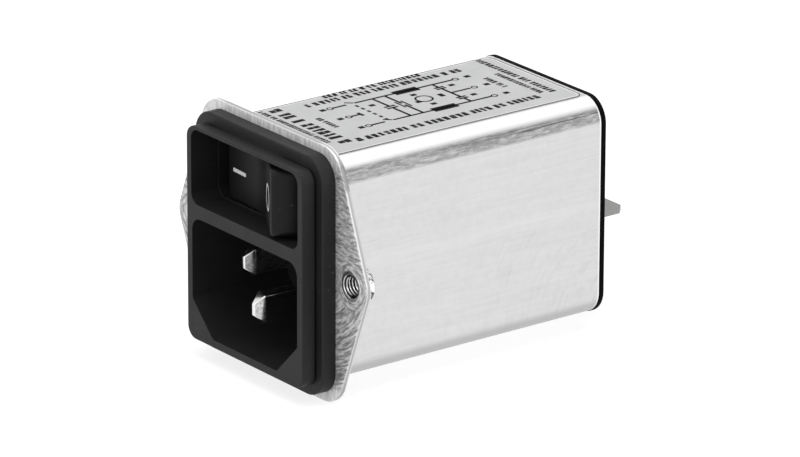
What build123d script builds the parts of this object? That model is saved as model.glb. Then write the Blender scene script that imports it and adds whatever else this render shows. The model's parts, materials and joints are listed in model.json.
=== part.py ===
from build123d import *
from math import atan2, cos, degrees, hypot, radians, sin, tan
import os

# A panel-mounted power entry module: inlet, two-pole rocker switch and line filter in one can.
# Millimetres. X runs to the right seen from the front, Y runs into the panel, Z is up.
# The origin is midway between the two screw holes, on the front face of the mounting flange.

# Drawn can with its flange
HOLE_SPACING = 36.0
FLANGE_WIDTH = 43.4
FLANGE_HEIGHT = 36.2
FLANGE_TOP_WIDTH = 29.6
FLANGE_T = 0.8
EAR_R = 3.2
FLANGE_CORNER_R = 4.4
CAN_WIDTH = 27.4
CAN_HEIGHT = 31.4
CAN_R = 3.5
CAN_WALL = 0.5
CAN_LENGTH = 45.6
DRAW_R = 0.6
MOUTH_R = 1.0

# Clinch nuts, M3
THREAD_MINOR_R = 1.25
NUT_SHANK_R = 2.1
NUT_HEAD_R = 3.15
NUT_HEAD_T = 1.5
NUT_FIT = 0.02
NUT_LEAD_IN = 0.3

# Bezel: a block on a wider base, with a fine groove between them
BEZEL_PROUD = 4.5
BLOCK_WIDTH = 26.5
BLOCK_HEIGHT = 30.7
BLOCK_R = 2.2
BLOCK_EDGE_R = 0.35
BLOCK_DEPTH = 2.0
GROOVE_WIDTH = 0.35
GROOVE_DEPTH = 0.45
BASE_WIDTH = 29.2
BASE_HEIGHT = 33.6
BASE_R = 3.6
BASE_EDGE_R = 0.9

# Body of the housing inside the can
BODY_FIT = 0.15
BODY_LENGTH = 17.6

# Inlet cavity, C14 outline, and its pins
INLET_WIDTH = 24.1
INLET_HEIGHT = 16.5
INLET_TOP = 2.3
INLET_CHAMFER = 4.7
INLET_TOP_R = 1.6
INLET_LOWER_R = 0.7
INLET_DEPTH = 16.1
INLET_FLOOR_T = 3.0
PIN_WIDTH = 2.0
PIN_HEIGHT = 4.0
PIN_PITCH = 14.0
PIN_RISE = 2.0
PIN_TIP_WIDTH = 1.0
PIN_TIP_HEIGHT = 2.6
PIN_TAPER = 1.2
POWER_PIN_RECESS = 5.4
EARTH_PIN_RECESS = 1.7
PIN_TAIL_WIDTH = 1.2
PIN_TAIL_HEIGHT = 2.4
PIN_FIT = 0.03

# Switch pocket and chamber
POCKET_WIDTH = 24.2
POCKET_HEIGHT = 10.5
POCKET_R = 1.5
SWITCH_Z = 9.5
POCKET_NARROW_BY = 0.5
POCKET_FLOOR = 5.2
RIM_R = 0.2
EAR_FRONT = 2.1
EAR_WIDTH = 6.4
CHAMBER_WIDTH = 24.0
CHAMBER_HEIGHT = 8.6
CHAMBER_FRONT = 6.4

# Rocker: its face is a shallow V with a rounded valley
SWING = 34.0
PIVOT_Y = 2.5
FACE_OFFSET = 5.2
ROCKER_LENGTH = 17.56
FACE_SLOPE = 13.5
VALLEY_R = 9.0
ROCKER_HEIGHT = 9.6
PLATE_BACK_ANGLE = 21.0
END_WALL_ANGLE = 6.0
PLATE_T = 2.0
SKIRT_ANGLE = 2.0
ROCKER_BODY_HEIGHT = 7.3
ROCKER_WALL = 1.5
ROCKER_SIDE_WALL = 0.75
ROCKER_EDGE_R = 0.45
ROCKER_CORNER_R = 1.0
BOSS_WIDTH = 4.6
BOSS_REACH = 2.0
TRUNNION_R = 1.1
TRUNNION_LENGTH = 1.1
PIVOT_CLEAR = 0.05
SWING_CLEAR = 0.3
SIDE_CLEAR = 0.1

# Plungers and their springs
PLUNGER_R = 1.1
PLUNGER_REACH = 3.3
PLUNGER_LENGTH = 4.0
PLUNGER_FIT = 0.05
PLUNGER_TIP_FLAT = 0.1
BORE_DEPTH = 3.6
SPRING_WIRE_R = 0.16
SPRING_R = 0.72
SPRING_TURNS = 4
SPRING_SEAT = 0.05

# Contact levers and terminals of the switch
POLE_Z = 1.9
LEVER_SWING = 16.0
LEVER_T = 0.5
LEVER_WIDTH = 1.8
LEVER_CONTACT_ARM = 6.4
LEVER_FREE_ARM = 4.2
LEVER_GAP = 0.06
BUTTON_R = 0.8
BUTTON_T = 0.6
BUTTON_ARM = 5.4
FULCRUM_R = 0.45
FULCRUM_GAP = 0.04
CRADLE_WIDTH = 1.4
CRADLE_DROP = 0.15
CONTACT_GAP = 0.06
PAD_T = 0.5
TERMINAL_STRIP_WIDTH = 1.4
TAIL_SIZE = 0.8
SWITCH_BASE_Y = 11.2
SWITCH_BASE_T = 1.6
SWITCH_BASE_WALL = 0.75
SWITCH_BASE_FIT = 0.1
BARRIER_T = 1.2
BARRIER_FRONT = 8.4
SLOT_FIT = 0.08

# Circuit board and filter parts
BOARD_T = 1.6
BOARD_FIT = 0.3
TAIL_PROUD = 1.0
STANDOFF = 1.4
CORE_OUTER_R = 7.3
CORE_INNER_R = 4.0
CORE_LENGTH = 6.5
CORE_EDGE_R = 0.6
CHOKE_Z = -5.2
WINDING_T = 0.9
WINDING_ARC = 130.0
WINDING_LEAD_INSET = 8.0
WINDING_FIT = 0.05
WIRE_R = 0.4
X_CAP_WIDTH = 17.0
X_CAP_HEIGHT = 6.0
X_CAP_LENGTH = 13.0
X_CAP_EDGE_R = 0.5
X_CAP_LEAD_PITCH = 15.0
X_CAP_Z = 11.6
FOOT_R = 0.6
FOOT_INSET = 1.0
Y_CAP_R = 3.4
Y_CAP_T = 2.4
Y_CAP_EDGE_R = 0.8
Y_CAP_X = 5.4
Y_CAP_Z = 5.3
Y_CAP_LEAD_PITCH = 5.0
RESISTOR_R = 1.15
RESISTOR_EDGE_R = 0.38
RESISTOR_LENGTH = 6.2
RESISTOR_X = -9.9
RESISTOR_Z = -12.0
RESISTOR_LEAD_PITCH = 2.5
RESISTOR_BEND_R = 0.9
LEAD_R = 0.3
LEAD_FIT = 0.08

# Rear cover and blade terminals
COVER_T = 0.8
COVER_PROUD = 0.1
COVER_PLUG = 2.6
COVER_FIT = 0.15
COVER_EDGE_R = 0.25
BLADE_WIDTH = 6.3
BLADE_T = 0.8
BLADE_LENGTH = 8.0
BLADE_TIP_CHAMFER = 1.0
BLADE_HOLE_R = 0.85
BLADE_HOLE_BACK = 4.0
BLADE_X = 5.5
BLADE_Z = -3.25
EARTH_BLADE_Z = 7.0
SHOULDER_T = 2.6
SHOULDER_OVERHANG = 0.1
LEG_WIDTH = 2.4
LEG_X = 11.0

# Label foil on the can's top face
LABEL_WIDTH = 21.0
LABEL_FRONT = 1.9
LABEL_BACK = 45.2
LABEL_T = 0.08
LABEL_R = 1.2

# Closeness used to pick edges by their place
NEAR = 0.01

# Worked out from the sizes above
FACE_Y = -BEZEL_PROUD
BASE_FRONT = FACE_Y + BLOCK_DEPTH + GROOVE_WIDTH
BORE_WIDTH = CAN_WIDTH - 2 * CAN_WALL
BORE_HEIGHT = CAN_HEIGHT - 2 * CAN_WALL
BORE_R = CAN_R - CAN_WALL
BODY_WIDTH = BORE_WIDTH - 2 * BODY_FIT
BODY_HEIGHT = BORE_HEIGHT - 2 * BODY_FIT
BODY_R = BORE_R - BODY_FIT
POCKET_INNER_HEIGHT = POCKET_HEIGHT - POCKET_NARROW_BY
WINDOW_HEIGHT = ROCKER_BODY_HEIGHT + 2 * SIDE_CLEAR
INLET_BOTTOM = INLET_TOP - INLET_HEIGHT
INLET_Z = (INLET_TOP + INLET_BOTTOM) / 2
INLET_FLOOR = FACE_Y + INLET_DEPTH
INLET_BACK = INLET_FLOOR + INLET_FLOOR_T
BOARD_BACK = BODY_LENGTH + BOARD_T
TAIL_END = BOARD_BACK + TAIL_PROUD
END_R = hypot(ROCKER_LENGTH / 2, FACE_OFFSET)
CORNER_ANGLE = degrees(atan2(FACE_OFFSET, ROCKER_LENGTH / 2))
VALLEY_OFFSET = FACE_OFFSET - ROCKER_LENGTH / 2 * tan(radians(FACE_SLOPE))
LEVER_Y = PIVOT_Y + PLUNGER_REACH + LEVER_GAP + LEVER_T + PLUNGER_R
COVER_BACK = CAN_LENGTH + COVER_T
COVER_FRONT = CAN_LENGTH - COVER_PLUG
BLADE_TIP = COVER_BACK + BLADE_LENGTH
REST = radians(SWING / 2)
LEVER_REST = radians(LEVER_SWING / 2)

os.makedirs("parts", exist_ok=True)


def depth(y):
    """Sketch plane that faces the front, at a depth Y behind the panel face."""
    return Plane.XZ.offset(-y)


def write(part, name):
    """Label one finished piece and write its file."""
    part.label = name
    export_step(part, f"parts/{name}.step")


def edges_at(builder, y, half_width, half_height):
    """Edges of a builder that lie at a depth, within a rectangle about the middle."""
    return builder.edges().filter_by(
        lambda e: abs(e.center().Y - y) < NEAR
        and abs(e.bounding_box().size.Y) < NEAR
        and abs(e.center().X) <= half_width + NEAR
        and abs(e.center().Z) <= half_height + NEAR
    )


# Filter can: a drawn box with a six-sided flange, widest at the screw holes
with BuildPart() as filter_can:
    with BuildSketch(depth(0)) as flange_outline:
        with BuildLine():
            Polyline(
                (-FLANGE_WIDTH / 2, 0),
                (-FLANGE_TOP_WIDTH / 2, FLANGE_HEIGHT / 2),
                (FLANGE_TOP_WIDTH / 2, FLANGE_HEIGHT / 2),
                (FLANGE_WIDTH / 2, 0),
                (FLANGE_TOP_WIDTH / 2, -FLANGE_HEIGHT / 2),
                (-FLANGE_TOP_WIDTH / 2, -FLANGE_HEIGHT / 2),
                close=True,
            )
        make_face()
        fillet(
            flange_outline.vertices().filter_by(lambda v: abs(v.Y) > FLANGE_HEIGHT / 2 - NEAR),
            FLANGE_CORNER_R,
        )
        fillet(
            flange_outline.vertices().filter_by(lambda v: abs(v.X) > FLANGE_WIDTH / 2 - NEAR), EAR_R
        )
    extrude(amount=-FLANGE_T)
    with BuildSketch(depth(0)):
        RectangleRounded(CAN_WIDTH, CAN_HEIGHT, CAN_R)
    extrude(amount=-CAN_LENGTH)
    fillet(edges_at(filter_can, FLANGE_T, CAN_WIDTH / 2, CAN_HEIGHT / 2), DRAW_R)
    with BuildSketch(depth(0)):
        RectangleRounded(BORE_WIDTH, BORE_HEIGHT, BORE_R)
    extrude(amount=-CAN_LENGTH, mode=Mode.SUBTRACT)
    fillet(edges_at(filter_can, 0, BORE_WIDTH / 2, BORE_HEIGHT / 2), MOUTH_R)
    with BuildSketch(depth(0)):
        with GridLocations(HOLE_SPACING, 0, 2, 1):
            Circle(NUT_SHANK_R + NUT_FIT)
    extrude(amount=-FLANGE_T, mode=Mode.SUBTRACT)
write(filter_can.part, "filter_can")

# Clinch nuts: shank flush with the panel face, head behind the flange
with BuildPart() as clinch_nuts:
    with BuildSketch(depth(0)):
        with GridLocations(HOLE_SPACING, 0, 2, 1):
            Circle(NUT_SHANK_R)
    extrude(amount=-FLANGE_T)
    with BuildSketch(depth(FLANGE_T)):
        with GridLocations(HOLE_SPACING, 0, 2, 1):
            Circle(NUT_HEAD_R)
    extrude(amount=-NUT_HEAD_T)
    head_rims = clinch_nuts.edges().filter_by(GeomType.CIRCLE).group_by(Axis.Y)[-1]
    chamfer(head_rims, NUT_LEAD_IN)
    with BuildSketch(depth(0)):
        with GridLocations(HOLE_SPACING, 0, 2, 1):
            Circle(THREAD_MINOR_R)
    extrude(amount=-FLANGE_T - NUT_HEAD_T, mode=Mode.SUBTRACT)
    bore_rims = clinch_nuts.edges().filter_by(
        lambda e: e.geom_type == GeomType.CIRCLE and abs(e.radius - THREAD_MINOR_R) < NEAR
    )
    chamfer(bore_rims.group_by(Axis.Y)[0], NUT_LEAD_IN)
write(clinch_nuts.part, "clinch_nuts")

# Front housing: bezel block, groove, base and the body inside the can
with BuildPart() as front_housing:
    with BuildSketch(depth(FACE_Y)):
        RectangleRounded(BLOCK_WIDTH, BLOCK_HEIGHT, BLOCK_R)
    extrude(amount=-BLOCK_DEPTH)
    fillet(edges_at(front_housing, FACE_Y, BLOCK_WIDTH / 2, BLOCK_HEIGHT / 2), BLOCK_EDGE_R)
    with BuildSketch(depth(FACE_Y + BLOCK_DEPTH)):
        RectangleRounded(
            BLOCK_WIDTH - 2 * GROOVE_DEPTH, BLOCK_HEIGHT - 2 * GROOVE_DEPTH, BLOCK_R - GROOVE_DEPTH
        )
    extrude(amount=-GROOVE_WIDTH)
    with BuildSketch(depth(BASE_FRONT)):
        RectangleRounded(BASE_WIDTH, BASE_HEIGHT, BASE_R)
    extrude(amount=BASE_FRONT)
    base_rim = edges_at(front_housing, BASE_FRONT, BASE_WIDTH / 2, BASE_HEIGHT / 2)
    base_rim = base_rim.filter_by(
        lambda e: abs(e.center().X) > BLOCK_WIDTH / 2 or abs(e.center().Z) > BLOCK_HEIGHT / 2
    )
    fillet(base_rim, BASE_EDGE_R)
    with BuildSketch(depth(0)):
        RectangleRounded(BODY_WIDTH, BODY_HEIGHT, BODY_R)
    extrude(amount=-BODY_LENGTH)
    # Inlet cavity with its two chamfered lower corners
    with BuildSketch(depth(FACE_Y)) as inlet_outline:
        with BuildLine():
            Polyline(
                (-INLET_WIDTH / 2, INLET_TOP),
                (INLET_WIDTH / 2, INLET_TOP),
                (INLET_WIDTH / 2, INLET_BOTTOM + INLET_CHAMFER),
                (INLET_WIDTH / 2 - INLET_CHAMFER, INLET_BOTTOM),
                (-INLET_WIDTH / 2 + INLET_CHAMFER, INLET_BOTTOM),
                (-INLET_WIDTH / 2, INLET_BOTTOM + INLET_CHAMFER),
                close=True,
            )
        make_face()
        top_corners = inlet_outline.vertices().group_by(Axis.Y)[-1]
        lower_corners = inlet_outline.vertices().filter_by(lambda v: v.Y < INLET_TOP - NEAR)
        fillet(lower_corners, INLET_LOWER_R)
        fillet(top_corners, INLET_TOP_R)
    extrude(amount=-INLET_DEPTH, mode=Mode.SUBTRACT)
    # Slots for the pins through the inlet's floor, and the hollow behind it
    with BuildSketch(depth(INLET_FLOOR)):
        with Locations((-PIN_PITCH / 2, INLET_Z + PIN_RISE), (PIN_PITCH / 2, INLET_Z + PIN_RISE)):
            Rectangle(PIN_WIDTH + 2 * PIN_FIT, PIN_HEIGHT + 2 * PIN_FIT)
        with Locations((0, INLET_Z - PIN_RISE)):
            Rectangle(PIN_WIDTH + 2 * PIN_FIT, PIN_HEIGHT + 2 * PIN_FIT)
    extrude(amount=-INLET_FLOOR_T, mode=Mode.SUBTRACT)
    with BuildSketch(depth(INLET_BACK)):
        with Locations((0, INLET_Z)):
            RectangleRounded(INLET_WIDTH, INLET_HEIGHT, INLET_TOP_R)
    extrude(amount=INLET_BACK - BODY_LENGTH, mode=Mode.SUBTRACT)
    # Switch pocket, a little lower inside the can than at the face
    with BuildSketch(depth(FACE_Y)):
        with Locations((0, SWITCH_Z)):
            RectangleRounded(POCKET_WIDTH, POCKET_HEIGHT, POCKET_R)
    extrude(amount=FACE_Y, mode=Mode.SUBTRACT)
    with BuildSketch(depth(0)):
        with Locations((0, SWITCH_Z)):
            RectangleRounded(POCKET_WIDTH, POCKET_INNER_HEIGHT, POCKET_R)
    extrude(amount=-POCKET_FLOOR, mode=Mode.SUBTRACT)
    # Window for the rocker through the pocket's floor, then the switch chamber
    with BuildSketch(depth(POCKET_FLOOR)):
        with Locations((0, SWITCH_Z)):
            Rectangle(2 * (END_R + SWING_CLEAR), WINDOW_HEIGHT)
    extrude(amount=POCKET_FLOOR - CHAMBER_FRONT, mode=Mode.SUBTRACT)
    with BuildSketch(depth(CHAMBER_FRONT)):
        with Locations((0, SWITCH_Z)):
            Rectangle(CHAMBER_WIDTH, CHAMBER_HEIGHT)
    extrude(amount=CHAMBER_FRONT - BODY_LENGTH, mode=Mode.SUBTRACT)
    # Bearing ears on the pocket's walls, with snap-in notches for the rocker's trunnions
    ear_height = (POCKET_INNER_HEIGHT - WINDOW_HEIGHT) / 2
    with BuildSketch(depth(EAR_FRONT)):
        with Locations((0, SWITCH_Z)):
            with GridLocations(0, WINDOW_HEIGHT + ear_height, 1, 2):
                Rectangle(EAR_WIDTH, ear_height)
    extrude(amount=EAR_FRONT - POCKET_FLOOR)
    with BuildSketch(Plane.XY.offset(SWITCH_Z)):
        with Locations((0, PIVOT_Y)):
            Circle(TRUNNION_R + PIVOT_CLEAR)
    extrude(
        amount=ROCKER_BODY_HEIGHT / 2 + TRUNNION_LENGTH + SIDE_CLEAR, both=True, mode=Mode.SUBTRACT
    )
    # Softened rims of the pocket and the inlet
    fillet(edges_at(front_housing, FACE_Y, POCKET_WIDTH / 2, SWITCH_Z + POCKET_HEIGHT / 2), RIM_R)
write(front_housing.part, "front_housing")


def inlet_pin(x, z, tip_y):
    """Flat inlet pin with a tapered tip, and a narrow tail through the board."""
    with BuildPart() as pin:
        with BuildSketch(depth(tip_y)):
            with Locations((x, z)):
                Rectangle(PIN_TIP_WIDTH, PIN_TIP_HEIGHT)
        with BuildSketch(depth(tip_y + PIN_TAPER)):
            with Locations((x, z)):
                Rectangle(PIN_WIDTH, PIN_HEIGHT)
        loft()
        with BuildSketch(depth(tip_y + PIN_TAPER)):
            with Locations((x, z)):
                Rectangle(PIN_WIDTH, PIN_HEIGHT)
        extrude(amount=tip_y + PIN_TAPER - INLET_BACK)
        with BuildSketch(depth(INLET_BACK)):
            with Locations((x, z)):
                Rectangle(PIN_TAIL_WIDTH, PIN_TAIL_HEIGHT)
        extrude(amount=INLET_BACK - TAIL_END)
    return pin.part


POWER_TIP = FACE_Y + POWER_PIN_RECESS
EARTH_TIP = FACE_Y + EARTH_PIN_RECESS
write(inlet_pin(-PIN_PITCH / 2, INLET_Z + PIN_RISE, POWER_TIP), "neutral_pin")
write(inlet_pin(PIN_PITCH / 2, INLET_Z + PIN_RISE, POWER_TIP), "line_pin")
write(inlet_pin(0, INLET_Z - PIN_RISE, EARTH_TIP), "earth_pin")

# Rocker, drawn about its pivot: local X along its length, local Y into the panel.
# It stands with its left end pressed in, half the swing from the middle.
rocker_plane = Plane(
    origin=(0, PIVOT_Y, SWITCH_Z), x_dir=(cos(REST), -sin(REST), 0), z_dir=(0, 0, 1)
)


def on_rocker_face(edge):
    """Tell whether an edge runs along the rocker's dished face."""
    for share in (0, 0.5, 1):
        place = rocker_plane.to_local_coords(edge @ share)
        if place.Y > 2 * NEAR - VALLEY_OFFSET - abs(place.X) * tan(radians(FACE_SLOPE)):
            return False
    return True


PLATE_BACK_X = END_R * cos(radians(PLATE_BACK_ANGLE))
PLATE_BACK_Y = -END_R * sin(radians(PLATE_BACK_ANGLE))
SKIRT_X = END_R * cos(radians(SKIRT_ANGLE))
SKIRT_Y = END_R * sin(radians(SKIRT_ANGLE))
with BuildPart() as rocker:
    # Face plate
    with BuildSketch(rocker_plane) as plate_outline:
        with BuildLine():
            Polyline(
                (-ROCKER_LENGTH / 2, -FACE_OFFSET),
                (0, -VALLEY_OFFSET),
                (ROCKER_LENGTH / 2, -FACE_OFFSET),
            )
            CenterArc((0, 0), END_R, -CORNER_ANGLE, CORNER_ANGLE - PLATE_BACK_ANGLE)
            Polyline(
                (PLATE_BACK_X, PLATE_BACK_Y), (0, PLATE_T - VALLEY_OFFSET), (-PLATE_BACK_X, PLATE_BACK_Y)
            )
            CenterArc((0, 0), END_R, 180 + PLATE_BACK_ANGLE, CORNER_ANGLE - PLATE_BACK_ANGLE)
        make_face()
    extrude(amount=ROCKER_HEIGHT / 2, both=True)
    # End walls as high as the plate
    with BuildSketch(rocker_plane):
        for start in (-CORNER_ANGLE, 180 + END_WALL_ANGLE):
            with BuildLine():
                CenterArc((0, 0), END_R, start, CORNER_ANGLE - END_WALL_ANGLE)
                CenterArc((0, 0), END_R - ROCKER_WALL, start, CORNER_ANGLE - END_WALL_ANGLE)
                for angle in (radians(start), radians(start + CORNER_ANGLE - END_WALL_ANGLE)):
                    Line(
                        ((END_R - ROCKER_WALL) * cos(angle), (END_R - ROCKER_WALL) * sin(angle)),
                        (END_R * cos(angle), END_R * sin(angle)),
                    )
            make_face()
    extrude(amount=ROCKER_HEIGHT / 2, both=True)
    # Body behind the plate, with round end skirts
    with BuildSketch(rocker_plane):
        with BuildLine():
            Polyline(
                (-PLATE_BACK_X, PLATE_BACK_Y), (0, PLATE_T - VALLEY_OFFSET), (PLATE_BACK_X, PLATE_BACK_Y)
            )
            CenterArc((0, 0), END_R, -PLATE_BACK_ANGLE, PLATE_BACK_ANGLE + SKIRT_ANGLE)
            Line((SKIRT_X, SKIRT_Y), (-SKIRT_X, SKIRT_Y))
            CenterArc((0, 0), END_R, 180 - SKIRT_ANGLE, PLATE_BACK_ANGLE + SKIRT_ANGLE)
        make_face()
    extrude(amount=ROCKER_BODY_HEIGHT / 2, both=True)
    # Boss for the plungers
    with BuildSketch(rocker_plane):
        with Locations((0, BOSS_REACH / 2)):
            Rectangle(BOSS_WIDTH, BOSS_REACH)
    extrude(amount=ROCKER_BODY_HEIGHT / 2, both=True)
    # Hollows each side of the boss
    with BuildSketch(rocker_plane):
        for side in (-1, 1):
            with BuildLine():
                Polyline(
                    (side * BOSS_WIDTH / 2, SKIRT_Y),
                    (side * BOSS_WIDTH / 2, PLATE_T - VALLEY_OFFSET),
                    (side * (PLATE_BACK_X - ROCKER_WALL), PLATE_BACK_Y + ROCKER_SIDE_WALL),
                    (side * (SKIRT_X - ROCKER_WALL), SKIRT_Y),
                    close=True,
                )
            make_face()
    extrude(amount=ROCKER_BODY_HEIGHT / 2 - ROCKER_SIDE_WALL, both=True, mode=Mode.SUBTRACT)
    # Trunnions
    with BuildSketch(rocker_plane):
        Circle(TRUNNION_R)
    extrude(amount=ROCKER_BODY_HEIGHT / 2 + TRUNNION_LENGTH, both=True)
    # Rounded valley, corners and rim of the face
    valley = rocker.edges().filter_by(Axis.Z).filter_by(
        lambda e: abs(rocker_plane.to_local_coords(e.center()).Y + VALLEY_OFFSET) < NEAR
        and abs(rocker_plane.to_local_coords(e.center()).X) < NEAR
    )
    fillet(valley, VALLEY_R)
    end_arcs = rocker.edges().filter_by(
        lambda e: e.geom_type == GeomType.CIRCLE
        and abs(e.radius - END_R) < NEAR
        and abs(abs(e.center().Z - SWITCH_Z) - ROCKER_HEIGHT / 2) < NEAR
    )
    fillet(end_arcs, ROCKER_CORNER_R)
    fillet(rocker.edges().filter_by(on_rocker_face), ROCKER_EDGE_R)
    # Bores for the plungers
    for pole in (-POLE_Z, POLE_Z):
        bore_plane = Plane(
            origin=rocker_plane.from_local_coords((0, BOSS_REACH, pole)),
            x_dir=rocker_plane.x_dir,
            z_dir=rocker_plane.y_dir,
        )
        with BuildSketch(bore_plane):
            Circle(PLUNGER_R + PLUNGER_FIT)
        extrude(amount=-BORE_DEPTH, mode=Mode.SUBTRACT)
write(rocker.part, "rocker")


def plunger_and_spring(pole, side_name):
    """One pole's plunger, with a domed tip, and the coil spring behind it in the bore."""
    base_local = PLUNGER_REACH + PLUNGER_R - PLUNGER_LENGTH
    plunger_plane = Plane(
        origin=rocker_plane.from_local_coords((0, base_local, pole)),
        x_dir=rocker_plane.x_dir,
        z_dir=rocker_plane.y_dir,
    )
    with BuildPart() as plunger:
        with BuildSketch(plunger_plane):
            Circle(PLUNGER_R)
        extrude(amount=PLUNGER_LENGTH)
        tip = plunger.edges().filter_by(GeomType.CIRCLE).sort_by(
            lambda e: rocker_plane.to_local_coords(e.center()).Y
        )[-1]
        fillet(tip, PLUNGER_R - PLUNGER_TIP_FLAT)
    write(plunger.part, f"plunger_{side_name}")
    seat_local = BOSS_REACH - BORE_DEPTH
    coil_length = base_local - seat_local - 2 * SPRING_WIRE_R - 2 * SPRING_SEAT
    coil_start = seat_local + SPRING_WIRE_R + SPRING_SEAT
    with BuildPart() as spring:
        with BuildLine():
            coil = Helix(
                pitch=coil_length / SPRING_TURNS,
                height=coil_length,
                radius=SPRING_R,
                center=rocker_plane.from_local_coords((0, coil_start, pole)),
                direction=rocker_plane.y_dir,
            )
        with BuildSketch(Plane(origin=coil @ 0, z_dir=coil % 0)):
            Circle(SPRING_WIRE_R)
        sweep(path=coil, is_frenet=True)
    write(spring.part, f"plunger_spring_{side_name}")


def switch_pole(z, side_name):
    """One pole's seesaw lever, its pivot terminal and its contact terminal."""
    lever_plane = Plane(
        origin=(0, LEVER_Y, z), x_dir=(cos(LEVER_REST), sin(LEVER_REST), 0), z_dir=(0, 0, 1)
    )
    with BuildPart() as lever:
        with BuildSketch(lever_plane):
            with BuildLine():
                Polyline(
                    (-LEVER_FREE_ARM, -LEVER_T),
                    (LEVER_CONTACT_ARM, -LEVER_T),
                    (LEVER_CONTACT_ARM, 0),
                    (-LEVER_FREE_ARM, 0),
                    close=True,
                )
            make_face()
        extrude(amount=LEVER_WIDTH / 2, both=True)
        button_plane = Plane(
            origin=lever_plane.from_local_coords((BUTTON_ARM, 0, 0)),
            x_dir=lever_plane.x_dir,
            z_dir=lever_plane.y_dir,
        )
        with BuildSketch(button_plane):
            Circle(BUTTON_R)
        extrude(amount=BUTTON_T)
        # Round bead that the lever rocks on
        with BuildSketch(lever_plane):
            Circle(FULCRUM_R)
        extrude(amount=LEVER_WIDTH / 2, both=True)
    write(lever.part, f"contact_lever_{side_name}")
    neck_y = SWITCH_BASE_Y + SWITCH_BASE_T + TAIL_SIZE
    with BuildPart() as pivot_terminal:
        with BuildSketch(Plane.XY.offset(z)):
            with Locations((0, LEVER_Y + CRADLE_DROP)):
                Rectangle(CRADLE_WIDTH, neck_y - LEVER_Y - CRADLE_DROP, align=(Align.CENTER, Align.MIN))
            with Locations((0, neck_y)):
                Rectangle(TAIL_SIZE, TAIL_END - neck_y, align=(Align.CENTER, Align.MIN))
            with Locations((0, LEVER_Y)):
                Circle(FULCRUM_R + FULCRUM_GAP, mode=Mode.SUBTRACT)
        extrude(amount=TAIL_SIZE / 2, both=True)
    write(pivot_terminal.part, f"pivot_terminal_{side_name}")
    with BuildPart() as contact_terminal:
        with BuildSketch(depth(PAD_FRONT)):
            with Locations((PAD_X, z)):
                Circle(BUTTON_R)
        extrude(amount=-PAD_T)
        with BuildSketch(depth(PAD_FRONT + PAD_T)):
            with Locations((PAD_X, z)):
                Rectangle(TERMINAL_STRIP_WIDTH, TAIL_SIZE)
        extrude(amount=PAD_FRONT + PAD_T - neck_y)
        with BuildSketch(depth(neck_y)):
            with Locations((PAD_X, z)):
                Rectangle(TAIL_SIZE, TAIL_SIZE)
        extrude(amount=neck_y - TAIL_END)
    write(contact_terminal.part, f"contact_terminal_{side_name}")


PAD_X = BUTTON_ARM * cos(LEVER_REST) - BUTTON_T * sin(LEVER_REST)
BUTTON_EDGE_Y = (BUTTON_ARM + BUTTON_R) * sin(LEVER_REST) + BUTTON_T * cos(LEVER_REST)
PAD_FRONT = LEVER_Y + BUTTON_EDGE_Y + CONTACT_GAP
for pole_offset, pole_name in ((POLE_Z, "upper"), (-POLE_Z, "lower")):
    plunger_and_spring(pole_offset, pole_name)
    switch_pole(SWITCH_Z + pole_offset, pole_name)

# Switch base: a cup that closes the chamber from behind, with a barrier between the poles
with BuildPart() as switch_base:
    cup_width = CHAMBER_WIDTH - 2 * SWITCH_BASE_FIT
    cup_height = CHAMBER_HEIGHT - 2 * SWITCH_BASE_FIT
    cup_front = CHAMBER_FRONT + SWITCH_BASE_FIT
    with BuildSketch(depth(cup_front)):
        with Locations((0, SWITCH_Z)):
            Rectangle(cup_width, cup_height)
    extrude(amount=cup_front - SWITCH_BASE_Y - SWITCH_BASE_T)
    with BuildSketch(depth(cup_front)):
        with Locations((0, SWITCH_Z)):
            Rectangle(cup_width - 2 * SWITCH_BASE_WALL, cup_height - 2 * SWITCH_BASE_WALL)
    extrude(amount=cup_front - SWITCH_BASE_Y, mode=Mode.SUBTRACT)
    with BuildSketch(depth(BARRIER_FRONT)):
        with Locations((0, SWITCH_Z)):
            Rectangle(cup_width - 2 * SWITCH_BASE_WALL, BARRIER_T)
    extrude(amount=BARRIER_FRONT - SWITCH_BASE_Y)
    with BuildSketch(depth(SWITCH_BASE_Y)):
        for z in (SWITCH_Z - POLE_Z, SWITCH_Z + POLE_Z):
            with Locations((0, z)):
                Rectangle(CRADLE_WIDTH + 2 * SLOT_FIT, TAIL_SIZE + 2 * SLOT_FIT)
            with Locations((PAD_X, z)):
                Rectangle(TERMINAL_STRIP_WIDTH + 2 * SLOT_FIT, TAIL_SIZE + 2 * SLOT_FIT)
    extrude(amount=-SWITCH_BASE_T, mode=Mode.SUBTRACT)
write(switch_base.part, "switch_base")

# Blade terminals: flat stampings, the blade outside and a leg down to the board
SHOULDER_FRONT = COVER_FRONT - SHOULDER_T
BORE_HALF = BORE_WIDTH / 2


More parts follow.
